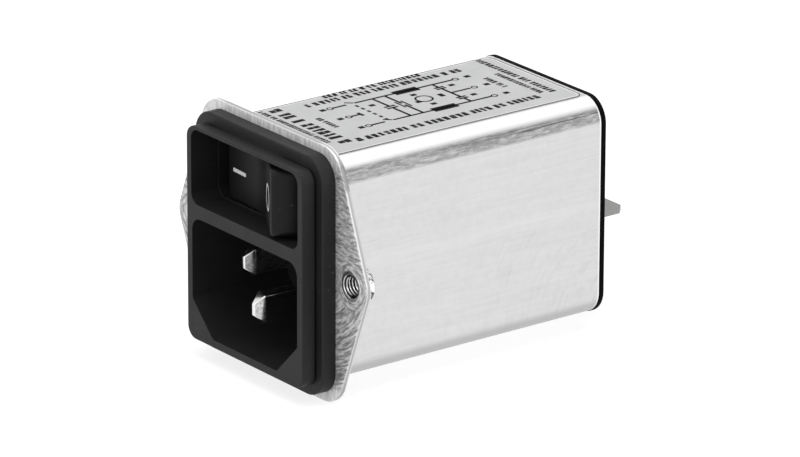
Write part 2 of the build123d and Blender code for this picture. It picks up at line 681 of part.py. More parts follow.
def blade_terminal(x, z, leg_x, wall_x):
    """Blade at X, leg at leg_x, joined by a shoulder that reaches wall_x on the leg's side."""
    outer = LEG_WIDTH / 2
    side = 1 if leg_x > 0 else -1
    near = x - side * BLADE_WIDTH / 2
    far = x + side * BLADE_WIDTH / 2
    with BuildPart() as terminal:
        with BuildSketch(Plane.XY.offset(z)):
            with BuildLine():
                Polyline(
                    (near, SHOULDER_FRONT),
                    (leg_x - side * outer, SHOULDER_FRONT),
                    (leg_x - side * outer, BODY_LENGTH),
                    (leg_x + side * outer, BODY_LENGTH),
                    (leg_x + side * outer, SHOULDER_FRONT),
                    (wall_x, SHOULDER_FRONT),
                    (wall_x, COVER_FRONT),
                    (far, COVER_FRONT),
                    (far, BLADE_TIP - BLADE_TIP_CHAMFER),
                    (far - side * BLADE_TIP_CHAMFER, BLADE_TIP),
                    (near + side * BLADE_TIP_CHAMFER, BLADE_TIP),
                    (near, BLADE_TIP - BLADE_TIP_CHAMFER),
                    close=True,
                )
            make_face()
            with Locations((x, BLADE_TIP - BLADE_HOLE_BACK)):
                Circle(BLADE_HOLE_R, mode=Mode.SUBTRACT)
        extrude(amount=BLADE_T / 2, both=True)
    return terminal.part


shoulder_end = LEG_X + LEG_WIDTH / 2 + SHOULDER_OVERHANG
write(blade_terminal(BLADE_X, BLADE_Z, LEG_X, shoulder_end), "line_terminal")
write(blade_terminal(-BLADE_X, BLADE_Z, -LEG_X, -shoulder_end), "neutral_terminal")
write(blade_terminal(0, EARTH_BLADE_Z, -LEG_X, -BORE_HALF), "earth_terminal")

# Rear cover: a plate over the can's end, with a plug inside it and three slots
with BuildPart() as rear_cover:
    with BuildSketch(depth(CAN_LENGTH)):
        RectangleRounded(CAN_WIDTH + 2 * COVER_PROUD, CAN_HEIGHT + 2 * COVER_PROUD, CAN_R + COVER_PROUD)
    extrude(amount=-COVER_T)
    fillet(rear_cover.edges().group_by(Axis.Y)[-1], COVER_EDGE_R)
    with BuildSketch(depth(COVER_FRONT)):
        RectangleRounded(BORE_WIDTH - 2 * COVER_FIT, BORE_HEIGHT - 2 * COVER_FIT, BORE_R - COVER_FIT)
    extrude(amount=-COVER_PLUG)
    with BuildSketch(depth(COVER_FRONT)):
        with Locations((-BLADE_X, BLADE_Z), (BLADE_X, BLADE_Z), (0, EARTH_BLADE_Z)):
            Rectangle(BLADE_WIDTH + 2 * SLOT_FIT, BLADE_T + 2 * SLOT_FIT)
    extrude(amount=COVER_FRONT - COVER_BACK, mode=Mode.SUBTRACT)
write(rear_cover.part, "rear_cover")

# Circuit board behind the housing, on the tails of the inlet and the switch
LEAD_RADIUS = CORE_OUTER_R + WINDING_T / 2
LEAD_ANGLE = radians(WINDING_ARC / 2 - WINDING_LEAD_INSET)
WINDING_LEADS = [
    (side * LEAD_RADIUS * cos(LEAD_ANGLE), CHOKE_Z + end * LEAD_RADIUS * sin(LEAD_ANGLE))
    for side in (-1, 1)
    for end in (-1, 1)
]
X_CAP_LEADS = [(side * X_CAP_LEAD_PITCH / 2, X_CAP_Z) for side in (-1, 1)]
Y_CAP_LEADS = [
    (side * Y_CAP_X + end * Y_CAP_LEAD_PITCH / 2, Y_CAP_Z) for side in (-1, 1) for end in (-1, 1)
]
RESISTOR_LEADS = [(RESISTOR_X, RESISTOR_Z), (RESISTOR_X + RESISTOR_LEAD_PITCH, RESISTOR_Z)]
PIN_PLACES = [
    (-PIN_PITCH / 2, INLET_Z + PIN_RISE),
    (PIN_PITCH / 2, INLET_Z + PIN_RISE),
    (0, INLET_Z - PIN_RISE),
]
with BuildPart() as circuit_board:
    with BuildSketch(depth(BODY_LENGTH)):
        RectangleRounded(BORE_WIDTH - 2 * BOARD_FIT, BORE_HEIGHT - 2 * BOARD_FIT, BORE_R - BOARD_FIT)
        with Locations(PIN_PLACES):
            Rectangle(PIN_TAIL_WIDTH + 2 * SLOT_FIT, PIN_TAIL_HEIGHT + 2 * SLOT_FIT, mode=Mode.SUBTRACT)
        for z in (SWITCH_Z - POLE_Z, SWITCH_Z + POLE_Z):
            with Locations((0, z), (PAD_X, z)):
                Rectangle(TAIL_SIZE + 2 * SLOT_FIT, TAIL_SIZE + 2 * SLOT_FIT, mode=Mode.SUBTRACT)
        with Locations((-LEG_X, BLADE_Z), (LEG_X, BLADE_Z), (-LEG_X, EARTH_BLADE_Z)):
            Rectangle(LEG_WIDTH + 2 * SLOT_FIT, BLADE_T + 2 * SLOT_FIT, mode=Mode.SUBTRACT)
        with Locations(X_CAP_LEADS + Y_CAP_LEADS + RESISTOR_LEADS):
            Circle(LEAD_R + LEAD_FIT, mode=Mode.SUBTRACT)
        with Locations(WINDING_LEADS):
            Circle(WIRE_R + LEAD_FIT, mode=Mode.SUBTRACT)
    extrude(amount=-BOARD_T)
write(circuit_board.part, "circuit_board")

# Choke: a ring core about the Y axis with a winding on each side
PARTS_FRONT = BOARD_BACK + STANDOFF
CORE_FRONT = PARTS_FRONT + WINDING_T + WINDING_FIT
with BuildPart() as choke_core:
    with BuildSketch(depth(CORE_FRONT)):
        with Locations((0, CHOKE_Z)):
            Circle(CORE_OUTER_R)
            Circle(CORE_INNER_R, mode=Mode.SUBTRACT)
    extrude(amount=-CORE_LENGTH)
    fillet(choke_core.edges().filter_by(GeomType.CIRCLE), CORE_EDGE_R)
write(choke_core.part, "choke_core")


def choke_winding(side):
    """Copper band round one side of the core, with both wire ends led to the board."""
    inner = CORE_INNER_R - WINDING_FIT
    outer = CORE_OUTER_R + WINDING_FIT
    start = (0 if side > 0 else 180) - WINDING_ARC / 2
    with BuildPart() as winding:
        with BuildSketch(depth(PARTS_FRONT)):
            with BuildLine():
                CenterArc((0, CHOKE_Z), outer + WINDING_T, start, WINDING_ARC)
                CenterArc((0, CHOKE_Z), inner - WINDING_T, start, WINDING_ARC)
                for angle in (radians(start), radians(start + WINDING_ARC)):
                    Line(
                        ((inner - WINDING_T) * cos(angle), CHOKE_Z + (inner - WINDING_T) * sin(angle)),
                        ((outer + WINDING_T) * cos(angle), CHOKE_Z + (outer + WINDING_T) * sin(angle)),
                    )
            make_face()
        extrude(amount=-CORE_LENGTH - 2 * WINDING_FIT - 2 * WINDING_T)
        fillet(winding.edges().filter_by(GeomType.CIRCLE), CORE_EDGE_R)
        with BuildSketch(depth(CORE_FRONT - WINDING_FIT)):
            with Locations((0, CHOKE_Z)):
                Circle(outer)
                Circle(inner, mode=Mode.SUBTRACT)
        extrude(amount=-CORE_LENGTH - 2 * WINDING_FIT, mode=Mode.SUBTRACT)
        with BuildSketch(depth(BODY_LENGTH)):
            with Locations([place for place in WINDING_LEADS if place[0] * side > 0]):
                Circle(WIRE_R)
        extrude(amount=BODY_LENGTH - PARTS_FRONT - WINDING_T / 2)
    return winding.part


write(choke_winding(-1), "choke_winding_neutral")
write(choke_winding(1), "choke_winding_line")

# X capacitor: a box on four small feet
with BuildPart() as x_capacitor:
    with BuildSketch(depth(PARTS_FRONT)):
        with Locations((0, X_CAP_Z)):
            Rectangle(X_CAP_WIDTH, X_CAP_HEIGHT)
    extrude(amount=-X_CAP_LENGTH)
    fillet(x_capacitor.edges().filter_by(Axis.Y), X_CAP_EDGE_R)
    fillet(x_capacitor.edges().group_by(Axis.Y)[-1], X_CAP_EDGE_R)
    with BuildSketch(depth(PARTS_FRONT)):
        with Locations((0, X_CAP_Z)):
            with GridLocations(X_CAP_WIDTH - 2 * FOOT_INSET, X_CAP_HEIGHT - 2 * FOOT_INSET, 2, 2):
                Circle(FOOT_R)
    extrude(amount=STANDOFF)
    with BuildSketch(depth(BODY_LENGTH)):
        with Locations(X_CAP_LEADS):
            Circle(LEAD_R)
    extrude(amount=BODY_LENGTH - PARTS_FRONT)
write(x_capacitor.part, "x_capacitor")


def y_capacitor(x):
    """Coated disc on two straight leads."""
    with BuildPart() as disc:
        with BuildSketch(Plane.XY.offset(Y_CAP_Z - Y_CAP_T / 2)):
            with Locations((x, PARTS_FRONT + Y_CAP_R)):
                Circle(Y_CAP_R)
        extrude(amount=Y_CAP_T)
        fillet(disc.edges().filter_by(GeomType.CIRCLE), Y_CAP_EDGE_R)
        with BuildSketch(depth(BODY_LENGTH)):
            with Locations((x - Y_CAP_LEAD_PITCH / 2, Y_CAP_Z), (x + Y_CAP_LEAD_PITCH / 2, Y_CAP_Z)):
                Circle(LEAD_R)
        extrude(amount=BODY_LENGTH - PARTS_FRONT - Y_CAP_R)
    return disc.part


write(y_capacitor(-Y_CAP_X), "y_capacitor_neutral")
write(y_capacitor(Y_CAP_X), "y_capacitor_line")

# Bleed resistor standing on the board, its far lead bent back like a hairpin
with BuildPart() as bleed_resistor:
    with BuildSketch(depth(PARTS_FRONT)):
        with Locations(RESISTOR_LEADS[0]):
            Circle(RESISTOR_R)
    extrude(amount=-RESISTOR_LENGTH)
    fillet(bleed_resistor.edges().filter_by(GeomType.CIRCLE), RESISTOR_EDGE_R)
    with BuildLine(Plane.XY.offset(RESISTOR_Z)) as hairpin:
        FilletPolyline(
            (RESISTOR_X, BODY_LENGTH),
            (RESISTOR_X, PARTS_FRONT + RESISTOR_LENGTH + STANDOFF),
            (RESISTOR_X + RESISTOR_LEAD_PITCH, PARTS_FRONT + RESISTOR_LENGTH + STANDOFF),
            (RESISTOR_X + RESISTOR_LEAD_PITCH, BODY_LENGTH),
            radius=RESISTOR_BEND_R,
        )
    with BuildSketch(Plane(origin=hairpin.line @ 0, z_dir=hairpin.line % 0)):
        Circle(LEAD_R)
    sweep(path=hairpin.line)
write(bleed_resistor.part, "bleed_resistor")

# Label foil on the can's flat top
with BuildPart() as rating_label:
    with BuildSketch(Plane.XY.offset(CAN_HEIGHT / 2)):
        with Locations((0, (LABEL_FRONT + LABEL_BACK) / 2)):
            RectangleRounded(LABEL_WIDTH, LABEL_BACK - LABEL_FRONT, LABEL_R)
    extrude(amount=LABEL_T)
write(rating_label.part, "rating_label")
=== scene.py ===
"""Studio scene of a panel-mounted power entry module: inlet, rocker switch and line filter in one can.

Sizes are millimetres until a mesh is written, and metres from there on. X runs to the right seen from
the front, Y runs into the panel along the can, and Z is up. The origin is midway between the two screw
holes, on the front face of the mounting flange.
"""
import json
import logging
from dataclasses import dataclass, field
from enum import Enum
from math import cos, radians, sin
from typing import Callable, Sequence

import bmesh
import bpy
import numpy as np
from mathutils import Matrix, Vector


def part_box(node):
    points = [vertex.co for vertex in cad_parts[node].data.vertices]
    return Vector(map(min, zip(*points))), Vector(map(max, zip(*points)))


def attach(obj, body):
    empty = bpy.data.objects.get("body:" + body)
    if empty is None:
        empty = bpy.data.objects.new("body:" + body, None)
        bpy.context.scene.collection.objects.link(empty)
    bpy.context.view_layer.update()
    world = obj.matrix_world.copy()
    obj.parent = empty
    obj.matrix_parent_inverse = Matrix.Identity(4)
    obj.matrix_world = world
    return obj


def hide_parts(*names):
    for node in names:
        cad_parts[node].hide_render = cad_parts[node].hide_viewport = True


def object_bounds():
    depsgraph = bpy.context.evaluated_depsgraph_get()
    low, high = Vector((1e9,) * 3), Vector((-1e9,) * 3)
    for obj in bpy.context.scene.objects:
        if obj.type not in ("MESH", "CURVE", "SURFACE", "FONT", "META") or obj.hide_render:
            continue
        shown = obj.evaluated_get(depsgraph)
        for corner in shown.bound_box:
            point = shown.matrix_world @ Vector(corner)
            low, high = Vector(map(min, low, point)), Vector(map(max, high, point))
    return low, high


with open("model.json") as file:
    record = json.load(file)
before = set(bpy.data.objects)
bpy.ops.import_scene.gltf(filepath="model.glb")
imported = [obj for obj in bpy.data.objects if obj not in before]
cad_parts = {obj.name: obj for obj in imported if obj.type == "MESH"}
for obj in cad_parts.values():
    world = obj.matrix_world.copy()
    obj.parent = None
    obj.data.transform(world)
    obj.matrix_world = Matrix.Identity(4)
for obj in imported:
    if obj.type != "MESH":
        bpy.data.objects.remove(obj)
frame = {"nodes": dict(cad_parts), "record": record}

CAD_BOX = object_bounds()
MM = 0.001
FULL_TURN = 2 * np.pi
SOLID_SHARP = 32.0
LOG = logging.getLogger("power_entry_module")

Piece = bpy.types.Object
Socket = bpy.types.NodeSocket
Feed = Socket | float | tuple
Pair = tuple[float, float]
Triple = tuple[float, float, float]
MADE: dict[str, bpy.types.Material] = {}


# Node graphs and finishes


class Graph:
    """One material's node tree, with short calls for the nodes that the finishes use."""

    def __init__(self, name: str) -> None:
        """Start an empty tree for the material called `name`.

        Args:
            name: The material's name.
        """
        self.material = bpy.data.materials.new(name)
        self.material.use_nodes = True
        self.tree = self.material.node_tree
        self.tree.nodes.clear()

    def node(self, kind: str, feeds: dict[str | int, Feed] | None = None,
             **settings: object) -> bpy.types.Node:
        """Add a node, set its own properties and feed its inputs.

        Args:
            kind: The node's type name, without its common prefix.
            feeds: Input name or number to a socket or a constant.
            **settings: Properties of the node itself.

        Returns:
            The new node.
        """
        made = self.tree.nodes.new("ShaderNode" + kind)
        for key, value in settings.items():
            setattr(made, key, value)
        for key, value in (feeds or {}).items():
            if isinstance(value, Socket):
                self.tree.links.new(value, made.inputs[key])
            else:
                made.inputs[key].default_value = value
        return made

    def place(self, stretch: Triple = (1.0, 1.0, 1.0)) -> Socket:
        """Object coordinates in millimetres, stretched along each axis."""
        scale = tuple(value / MM for value in stretch)
        feeds = {"Vector": self.node("TexCoord").outputs["Object"], "Scale": scale}
        return self.node("Mapping", feeds).outputs[0]

    def axes(self) -> tuple[Socket, Socket, Socket]:
        """The three object coordinates in millimetres, one socket each."""
        split = self.node("SeparateXYZ", {0: self.place()})
        return split.outputs[0], split.outputs[1], split.outputs[2]

    def noise(self, where: Socket, scale: float, detail: float = 4.0, rough: float = 0.55,
              distort: float = 0.0) -> Socket:
        """Fractal noise between 0 and 1 with about `scale` cells a millimetre."""
        feeds = {"Vector": where, "Scale": scale, "Detail": detail, "Roughness": rough, "Distortion": distort}
        return self.node("TexNoise", feeds).outputs["Fac"]

    def sums(self, kind: str, first: Feed, second: Feed = 0.0, third: Feed = 0.0) -> Socket:
        """One arithmetic step on up to three numbers."""
        return self.node("Math", {0: first, 1: second, 2: third}, operation=kind).outputs[0]

    def times(self, first: Feed, *factors: Feed) -> Socket:
        """Product of two or more numbers.

        Args:
            first: The first number.
            *factors: The other ones.

        Returns:
            The product.
        """
        for factor in factors:
            first = self.sums("MULTIPLY", first, factor)
        return first

    def minus(self, first: Feed, second: Feed) -> Socket:
        """Difference of two numbers."""
        return self.sums("SUBTRACT", first, second)

    def beyond(self, value: Feed, distance: float) -> Socket:
        """How far a coordinate lies beyond a distance from the middle, on either side."""
        return self.minus(self.sums("ABSOLUTE", value), distance)

    def radius(self, across: Feed, up: Feed) -> Socket:
        """Distance from the point where both numbers are 0."""
        return self.sums("SQRT", self.sums("MULTIPLY_ADD", across, across, self.times(up, up)))

    def between(self, share: Feed, first: Feed, second: Feed) -> Socket:
        """Mix two numbers: all `first` at share 0, all `second` at share 1."""
        return self.sums("MULTIPLY_ADD", share, second, self.times(self.minus(1.0, share), first))

    def ease(self, value: Feed, low: float = 0.3, high: float = 0.7, to_low: float = 0.0,
             to_high: float = 1.0) -> Socket:
        """Smooth step of a number from one range to another; nearly all noise lies between 0.3 and 0.7.

        Args:
            value: The number.
            low: Where the step starts.
            high: Where the step ends.
            to_low: Result up to `low`.
            to_high: Result from `high` on.

        Returns:
            The result.
        """
        feeds = {"Value": value, "From Min": low, "From Max": high, "To Min": to_low, "To Max": to_high}
        return self.node("MapRange", feeds, interpolation_type="SMOOTHSTEP").outputs[0]

    def band(self, value: Feed, start: float, end: float, soft: float) -> Socket:
        """1 between `start` and `end`, falling to 0 over `soft` on both sides."""
        rise = self.ease(value, start - soft, start + soft)
        return self.times(rise, self.ease(value, end - soft, end + soft, 1.0, 0.0))

    def blend(self, share: Feed, first: Feed, second: Feed) -> Socket:
        """Mix two colours."""
        return self.node("Mix", {0: share, 6: first, 7: second}, data_type="RGBA").outputs[2]

    def layers(self, base: Feed, *coats: tuple[Feed, float, tuple]) -> Socket:
        """Lay colours over a base in order, each with its share map, its strength and its colour.

        Args:
            base: The base colour.
            *coats: Share map, strength and colour of each coat.

        Returns:
            The colour that is seen.
        """
        for share, strength, colour in coats:
            base = self.blend(self.times(share, strength), base, colour)
        return base

    def tones(self, value: Feed, colour: Triple, dark: float, light: float, low: float = 0.3,
              high: float = 0.7) -> Socket:
        """Vary a colour between two gains as a number goes from `low` to `high`."""
        return self.blend(self.ease(value, low, high), tinted(colour, dark), tinted(colour, light))

    def surface(self, colour: Feed, rough: Feed, height: Feed, depth_mm: float,
                **more: Feed) -> bpy.types.Material:
        """Close the tree with a surface shader.

        Args:
            colour: Base colour.
            rough: Roughness.
            height: Height map of the surface.
            depth_mm: Depth of the height map's full range.
            **more: Other shader inputs, with underscores for the spaces in their names.

        Returns:
            The finished material.
        """
        bump = self.node("Bump", {"Height": height, "Distance": depth_mm * MM, "Strength": 1.0})
        feeds = {"Base Color": colour, "Roughness": rough, "Normal": bump.outputs[0]}
        feeds.update({key.replace("_", " "): value for key, value in more.items()})
        self.node("OutputMaterial", {"Surface": self.node("BsdfPrincipled", feeds).outputs[0]})
        return self.material


def grey(level: float) -> tuple[float, float, float, float]:
    """Neutral colour of a linear level."""
    return (level, level, level, 1.0)


def tinted(colour: Triple, gain: float = 1.0) -> tuple[float, float, float, float]:
    """Opaque colour from three linear channels, all scaled by `gain`."""
    return (colour[0] * gain, colour[1] * gain, colour[2] * gain, 1.0)


@dataclass(frozen=True)
class Finish:
    """A finish that can make its material.

    Attributes:
        name: The material's name.
        colour: Linear base colour.
        roughness: Middle of the roughness range.
    """

    name: str
    colour: Triple
    roughness: float

    def material(self) -> bpy.types.Material:
        """Make the material on its first use, and return the same one later.

        Returns:
            The material.
        """
        if self.name not in MADE:
            MADE[self.name] = self.make(Graph(self.name))
        return MADE[self.name]

    def rough(self, graph: Graph, value: Feed, less: float = 0.06, more: float = 0.06) -> Socket:
        """Vary the roughness a little with a noise value."""
        return graph.ease(value, to_low=self.roughness - less, to_high=self.roughness + more)

    def make(self, graph: Graph) -> bpy.types.Material:
        """Build the node tree.

        Args:
            graph: The tree to build in.

        Returns:
            The finished material.
        """
        raise NotImplementedError


@dataclass(frozen=True)
class MouldedPlastic(Finish):
    """Injection-moulded plastic: spark-eroded grain, faint flow clouds, specks of dust and a soft gloss.

    Attributes:
        grain_mm: Size of one grain.
        depth_mm: Depth of the grain.
        reflect: Specular level.
    """

    grain_mm: float = 0.16
    depth_mm: float = 0.004
    reflect: float = 0.3

    def make(self, graph: Graph) -> bpy.types.Material:
        """Grain sets the bump, slow clouds lighten the colour and roughen the gloss by a few percent.

        Args:
            graph: The tree to build in.

        Returns:
            The finished material.
        """
        place = graph.place()
        grain = graph.noise(place, 1.0 / self.grain_mm, 3.0, 0.6)
        share = graph.between(0.35, graph.noise(place, 0.22, 3.0, 0.5, 0.6), grain)
        dust = graph.ease(graph.noise(place, 2.3, 3.0, 0.6), 0.7, 0.76)
        clouded = graph.blend(share, tinted(self.colour, 0.72), tinted(self.colour, 1.3))
        colour = graph.layers(clouded, (dust, 0.5, grey(0.22)))
        rough = self.rough(graph, share)
        return graph.surface(colour, rough, grain, self.depth_mm, Specular_IOR_Level=self.reflect)


@dataclass(frozen=True)
class DrawnSteel(Finish):
    """Tin-plated steel drawn into a box: long die lines, bends with a painted highlight and painted dark
    reflections, and a rubbed flange face held dark with a painted dark reflection.

    Attributes:
        flange_shade_level: Mean linear level of the rubbed flange face, held low as a painted dark
            reflection.
        flange_metal: Metal share of the rubbed flange face.
        nut_x: Distance of each nut's axis from the middle.
        bend: Distances of each bend's centre line from the middle, across and up.
        reflection_streak: Heights between which the side has a painted reflection streak.
        swirls: Depth and height of the swirls' middle.
        arcs: Distance of the wide arcs' middle inside a nut's axis, and its height.
        sheared: Depths between which the flange's rim is dull.
        back_rim_highlight: Depths over which the painted highlight on the can's back rim begins.
    """

    flange_shade_level: float = 0.5
    flange_metal: float = 0.45
    nut_x: float = 18.0
    bend: Pair = (10.2, 12.2)
    reflection_streak: Pair = (0.3, 1.5)
    swirls: Pair = (50.0, -15.0)
    arcs: Pair = (9.0, 4.0)
    sheared: Pair = (0.24, 0.58)
    back_rim_highlight: Pair = (45.5, 45.75)

    def make(self, graph: Graph) -> bpy.types.Material:
        """Streaks are noise stretched along Y; the flange's face is where the depth is nearly 0.

        Args:
            graph: The tree to build in.

        Returns:
            The finished material.
        """
        _, y_mm, z_mm = graph.axes()
        # Long die lines along the can, and short cross mottling
        lines = graph.noise(graph.place((1.0, 0.035, 1.0)), 2.6, 5.0, 0.62)
        mottle = graph.noise(graph.place(), 0.9, 5.0, 0.6, 0.4)
        share = graph.sums("MULTIPLY_ADD", lines, 0.5, graph.sums("MULTIPLY_ADD", mottle, 0.35, 0.075))
        wall = graph.tones(share, self.colour, 0.94, 1.05, 0.32, 0.68)
        # A painted reflection streak halfway up, swirls low at the far end, and single long scratches
        reflection_streak = graph.band(z_mm, *self.reflection_streak, 0.6)
        from_middle = graph.minus(y_mm, self.swirls[0]), graph.minus(z_mm, self.swirls[1])
        swirl = graph.ease(self.rings(graph, *from_middle, 1.7, 1.6), 0.5, 0.66)
        swirl = graph.times(swirl, graph.ease(y_mm, 18.0, 34.0), graph.ease(z_mm, -3.0, 3.0, 1.0, 0.0))
        scratches = graph.noise(graph.place((1.0, 0.02, 1.0)), 3.4, 5.0, 0.7, 0.3)
        wall = graph.layers(
            wall, (reflection_streak, 0.25, tinted(self.colour, 1.16)), (swirl, 0.16, tinted(self.colour, 0.5)),
            (graph.ease(scratches, 0.64, 0.7), 0.16, tinted(self.colour, 0.4)),
        )
        grains = graph.noise(graph.place((1.0, 0.2, 1.0)), 2.2, 7.0, 0.8, 0.6)
        wall, galling_and_dark_reflection = self.bends(graph, wall, grains, scratches)
        # The flange's sheared rim is duller, and the can's back rim gets a painted highlight
        wall = graph.layers(
            wall, (graph.band(y_mm, *self.sheared, 0.07), 0.7, grey(0.3)),
            (graph.ease(y_mm, *self.back_rim_highlight), 1.0, grey(0.97)),
        )
        # The flange face's colour is held dark as a painted dark reflection, over real rub marks
        rubbed_and_shaded, rub_height = self.flange_face(graph)
        on_face = graph.ease(y_mm, 0.02, 0.1, 1.0, 0.0)
        rough = graph.sums("MULTIPLY_ADD", on_face, 0.15, self.rough(graph, share, 0.05, 0.07))
        height = graph.sums("MULTIPLY_ADD", lines, 0.5, graph.times(grains, galling_and_dark_reflection))
        height = graph.sums("MULTIPLY_ADD", graph.times(rub_height, on_face), 0.8, height)
        metal = graph.ease(on_face, 0.0, 1.0, 1.0, self.flange_metal)
        return graph.surface(graph.blend(on_face, wall, rubbed_and_shaded), rough, height, 0.012, Metallic=metal)

    def bends(self, graph: Graph, wall: Socket, grains: Socket, scratches: Socket) -> tuple[Socket, Socket]:
        """Paint bands along the bends, by the angle about each bend's centre line.

        The angle is 0 on the side wall and 90 degrees on the top or the bottom. The upper bends have a
        painted highlight along the crown over a grainy foot with a painted dark reflection and darker
        streaks, the lower ones have painted shade with a darker painted line near the silhouette.

        Args:
            graph: The tree to build in.
            wall: The wall's colour.
            grains: Fine grains along the can.
            scratches: Long scratches along the can.

        Returns:
            The colour with the bands, and the share of the grainy band that also carries the painted dark
            reflection.
        """
        x_mm, y_mm, z_mm = graph.axes()
        across = graph.beyond(x_mm, self.bend[0])
        on_bend = graph.ease(across, -0.4, 0.6)
        top = graph.sums("ARCTAN2", graph.minus(z_mm, self.bend[1]), across)
        low = graph.sums("ARCTAN2", graph.minus(graph.times(z_mm, -1.0), self.bend[1]), across)

        def along(angle: Socket, start: float, end: float, soft: float) -> Socket:
            """Share of a band between two angles in degrees."""
            return graph.times(graph.band(angle, radians(start), radians(end), radians(soft)), on_bend)

        # Painted dark reflection in a grainy band at the foot of each upper bend, with darker streaks along
        # the scratches
        galling_and_dark_reflection = graph.times(along(top, 7, 39, 5), graph.ease(grains, 0.34, 0.6, 0.35, 1.0))
        dark_reflection_streaks = graph.times(along(top, 22, 38, 4), graph.ease(scratches, 0.5, 0.56))
        # Painted highlight along the upper crowns; painted shade on the lower bends, with a darker painted
        # line near the silhouette
        return graph.layers(
            wall, (along(top, 46, 84, 8), 1.0, grey(0.97)), (galling_and_dark_reflection, 0.88, grey(0.2)),
            (graph.times(dark_reflection_streaks, graph.ease(y_mm, 10.0, 40.0, 0.25, 0.8)), 1.0, grey(0.06)),
            (along(low, 20, 100, 12), 0.7, grey(0.4)), (along(low, 58, 68, 3), 0.75, grey(0.14)),
        ), galling_and_dark_reflection

    def flange_face(self, graph: Graph) -> tuple[Socket, Socket]:
        """Rubbed face held dark as a painted dark reflection: rings about each nut, level streaks above it,
        wide arcs below it, hatching at the top.

        Args:
            graph: The tree to build in.

        Returns:
            The colour, held dark as a painted dark reflection, and the height of the rubbed face.
        """
        x_mm, _, z_mm = graph.axes()
        ear_x = graph.beyond(x_mm, self.nut_x)
        near = self.rings(graph, ear_x, z_mm, 2.6, 0.6)
        level = graph.noise(graph.place((0.3, 1.0, 1.0)), 2.1, 7.0, 0.78, 0.4)
        from_arcs = graph.sums("ADD", ear_x, self.arcs[0]), graph.minus(z_mm, self.arcs[1])
        wide = self.rings(graph, *from_arcs, 2.2, 2.4)
        hatch = graph.noise(graph.place((1.0, 1.0, 0.25)), 2.0, 6.0, 0.75)
        at_top = graph.ease(graph.sums("ABSOLUTE", z_mm), 14.2, 16.4)
        share = graph.between(graph.ease(z_mm, -2.5, 1.5), wide, level)
        share = graph.between(graph.ease(graph.radius(ear_x, z_mm), 2.6, 4.0, 1.0, 0.0), share, near)
        share = graph.between(at_top, share, hatch)
        # Painted dark reflection: the face's level is held low, and lifted near the top and bottom edges
        colour = graph.tones(share, (self.flange_shade_level,) * 3, 0.45, 1.7, 0.38, 0.62)
        return graph.layers(colour, (at_top, 0.55, grey(0.95))), share

    def rings(self, graph: Graph, across: Feed, up: Feed, scale: float, turn: float) -> Socket:
        """Noise over radius and angle about a point, which draws arcs about it.

        Args:
            graph: The tree to build in.
            across: Distance from the point, across.
            up: Distance from the point, up.
            scale: Arcs a millimetre of radius.
            turn: Changes along an arc, a radian.

        Returns:
            The noise value.
        """
        angle = graph.times(graph.sums("ARCTAN2", up, across), turn)
        where = graph.node("CombineXYZ", {0: graph.radius(across, up), 1: angle}).outputs[0]
        return graph.noise(where, scale, 5.0, 0.72)


@dataclass(frozen=True)
class PlatedMetal(Finish):
    """Plated part: fine stretched polish lines along one axis over a lightly mottled coat.

    Attributes:
        stretch: How far the polish lines are squeezed along each axis.
        depth_mm: Depth of the polish lines.
        stain: Share of darker stains.
    """

    stretch: Triple = (1.0, 0.1, 1.0)
    depth_mm: float = 0.003
    stain: float = 0.25

    def make(self, graph: Graph) -> bpy.types.Material:
        """Polish lines feed bump and roughness, stains feed the colour.

        Args:
            graph: The tree to build in.

        Returns:
            The finished material.
        """
        lines = graph.noise(graph.place(self.stretch), 9.0, 4.0, 0.65)
        stains = graph.ease(graph.noise(graph.place(), 1.6, 5.0, 0.65, 0.8), 0.45, 0.75)
        base = graph.tones(lines, self.colour, 0.88, 1.08)
        colour = graph.layers(base, (stains, self.stain, tinted(self.colour, 0.45)))
        rough = self.rough(graph, lines, 0.06, 0.1)
        return graph.surface(self.shade_colour(graph, colour), rough, lines, self.depth_mm, Metallic=1.0)

    def shade_colour(self, graph: Graph, colour: Socket) -> Socket:
        """What a special part changes in the colour; nothing here."""
        return colour


@dataclass(frozen=True)
class ThreadedNut(PlatedMetal):
    """Plated nut whose thread has bright crests and roots darkened with painted shade, and painted glints and
    shade on its head's rim.

    Attributes:
        axis_x: Distance of each nut's axis from the middle.
        crest: Radius of the thread's crests.
        root: Radius where the painted shade in the roots is darkest.
        mouth: Radius where the lead-in chamfer ends.
        head: Radius of the head, whose rim has painted glints and shade.
    """

    axis_x: float = 18.0
    crest: float = 1.27
    root: float = 1.42
    mouth: float = 1.56
    head: float = 2.45

    def shade_colour(self, graph: Graph, colour: Socket) -> Socket:
        """Paint shade into the roots by their distance from the nut's axis, and paint glints and shade on the
        head's rim.

        Args:
            graph: The tree to build in.
            colour: The plate's colour.

        Returns:
            The changed colour.
        """
        x_mm, _, z_mm = graph.axes()
        radius = graph.radius(graph.beyond(x_mm, self.axis_x), z_mm)
        outside = graph.ease(radius, self.mouth - 0.03, self.mouth + 0.01, 1.0, 0.0)
        # Painted shade in the thread's roots, near black
        deep = graph.times(graph.ease(radius, self.crest, self.root), outside)
        # Painted glints and shade on the head's rim, as light and dark noise
        glint_noise = graph.ease(graph.noise(graph.place(), 0.9, 4.0, 0.7, 0.5), 0.46, 0.54)
        rim = graph.ease(radius, self.head - 0.3, self.head - 0.2)
        painted_glints = graph.blend(glint_noise, grey(0.9), grey(0.1))
        return graph.layers(colour, (deep, 1.0, grey(0.012)), (rim, 1.0, painted_glints))


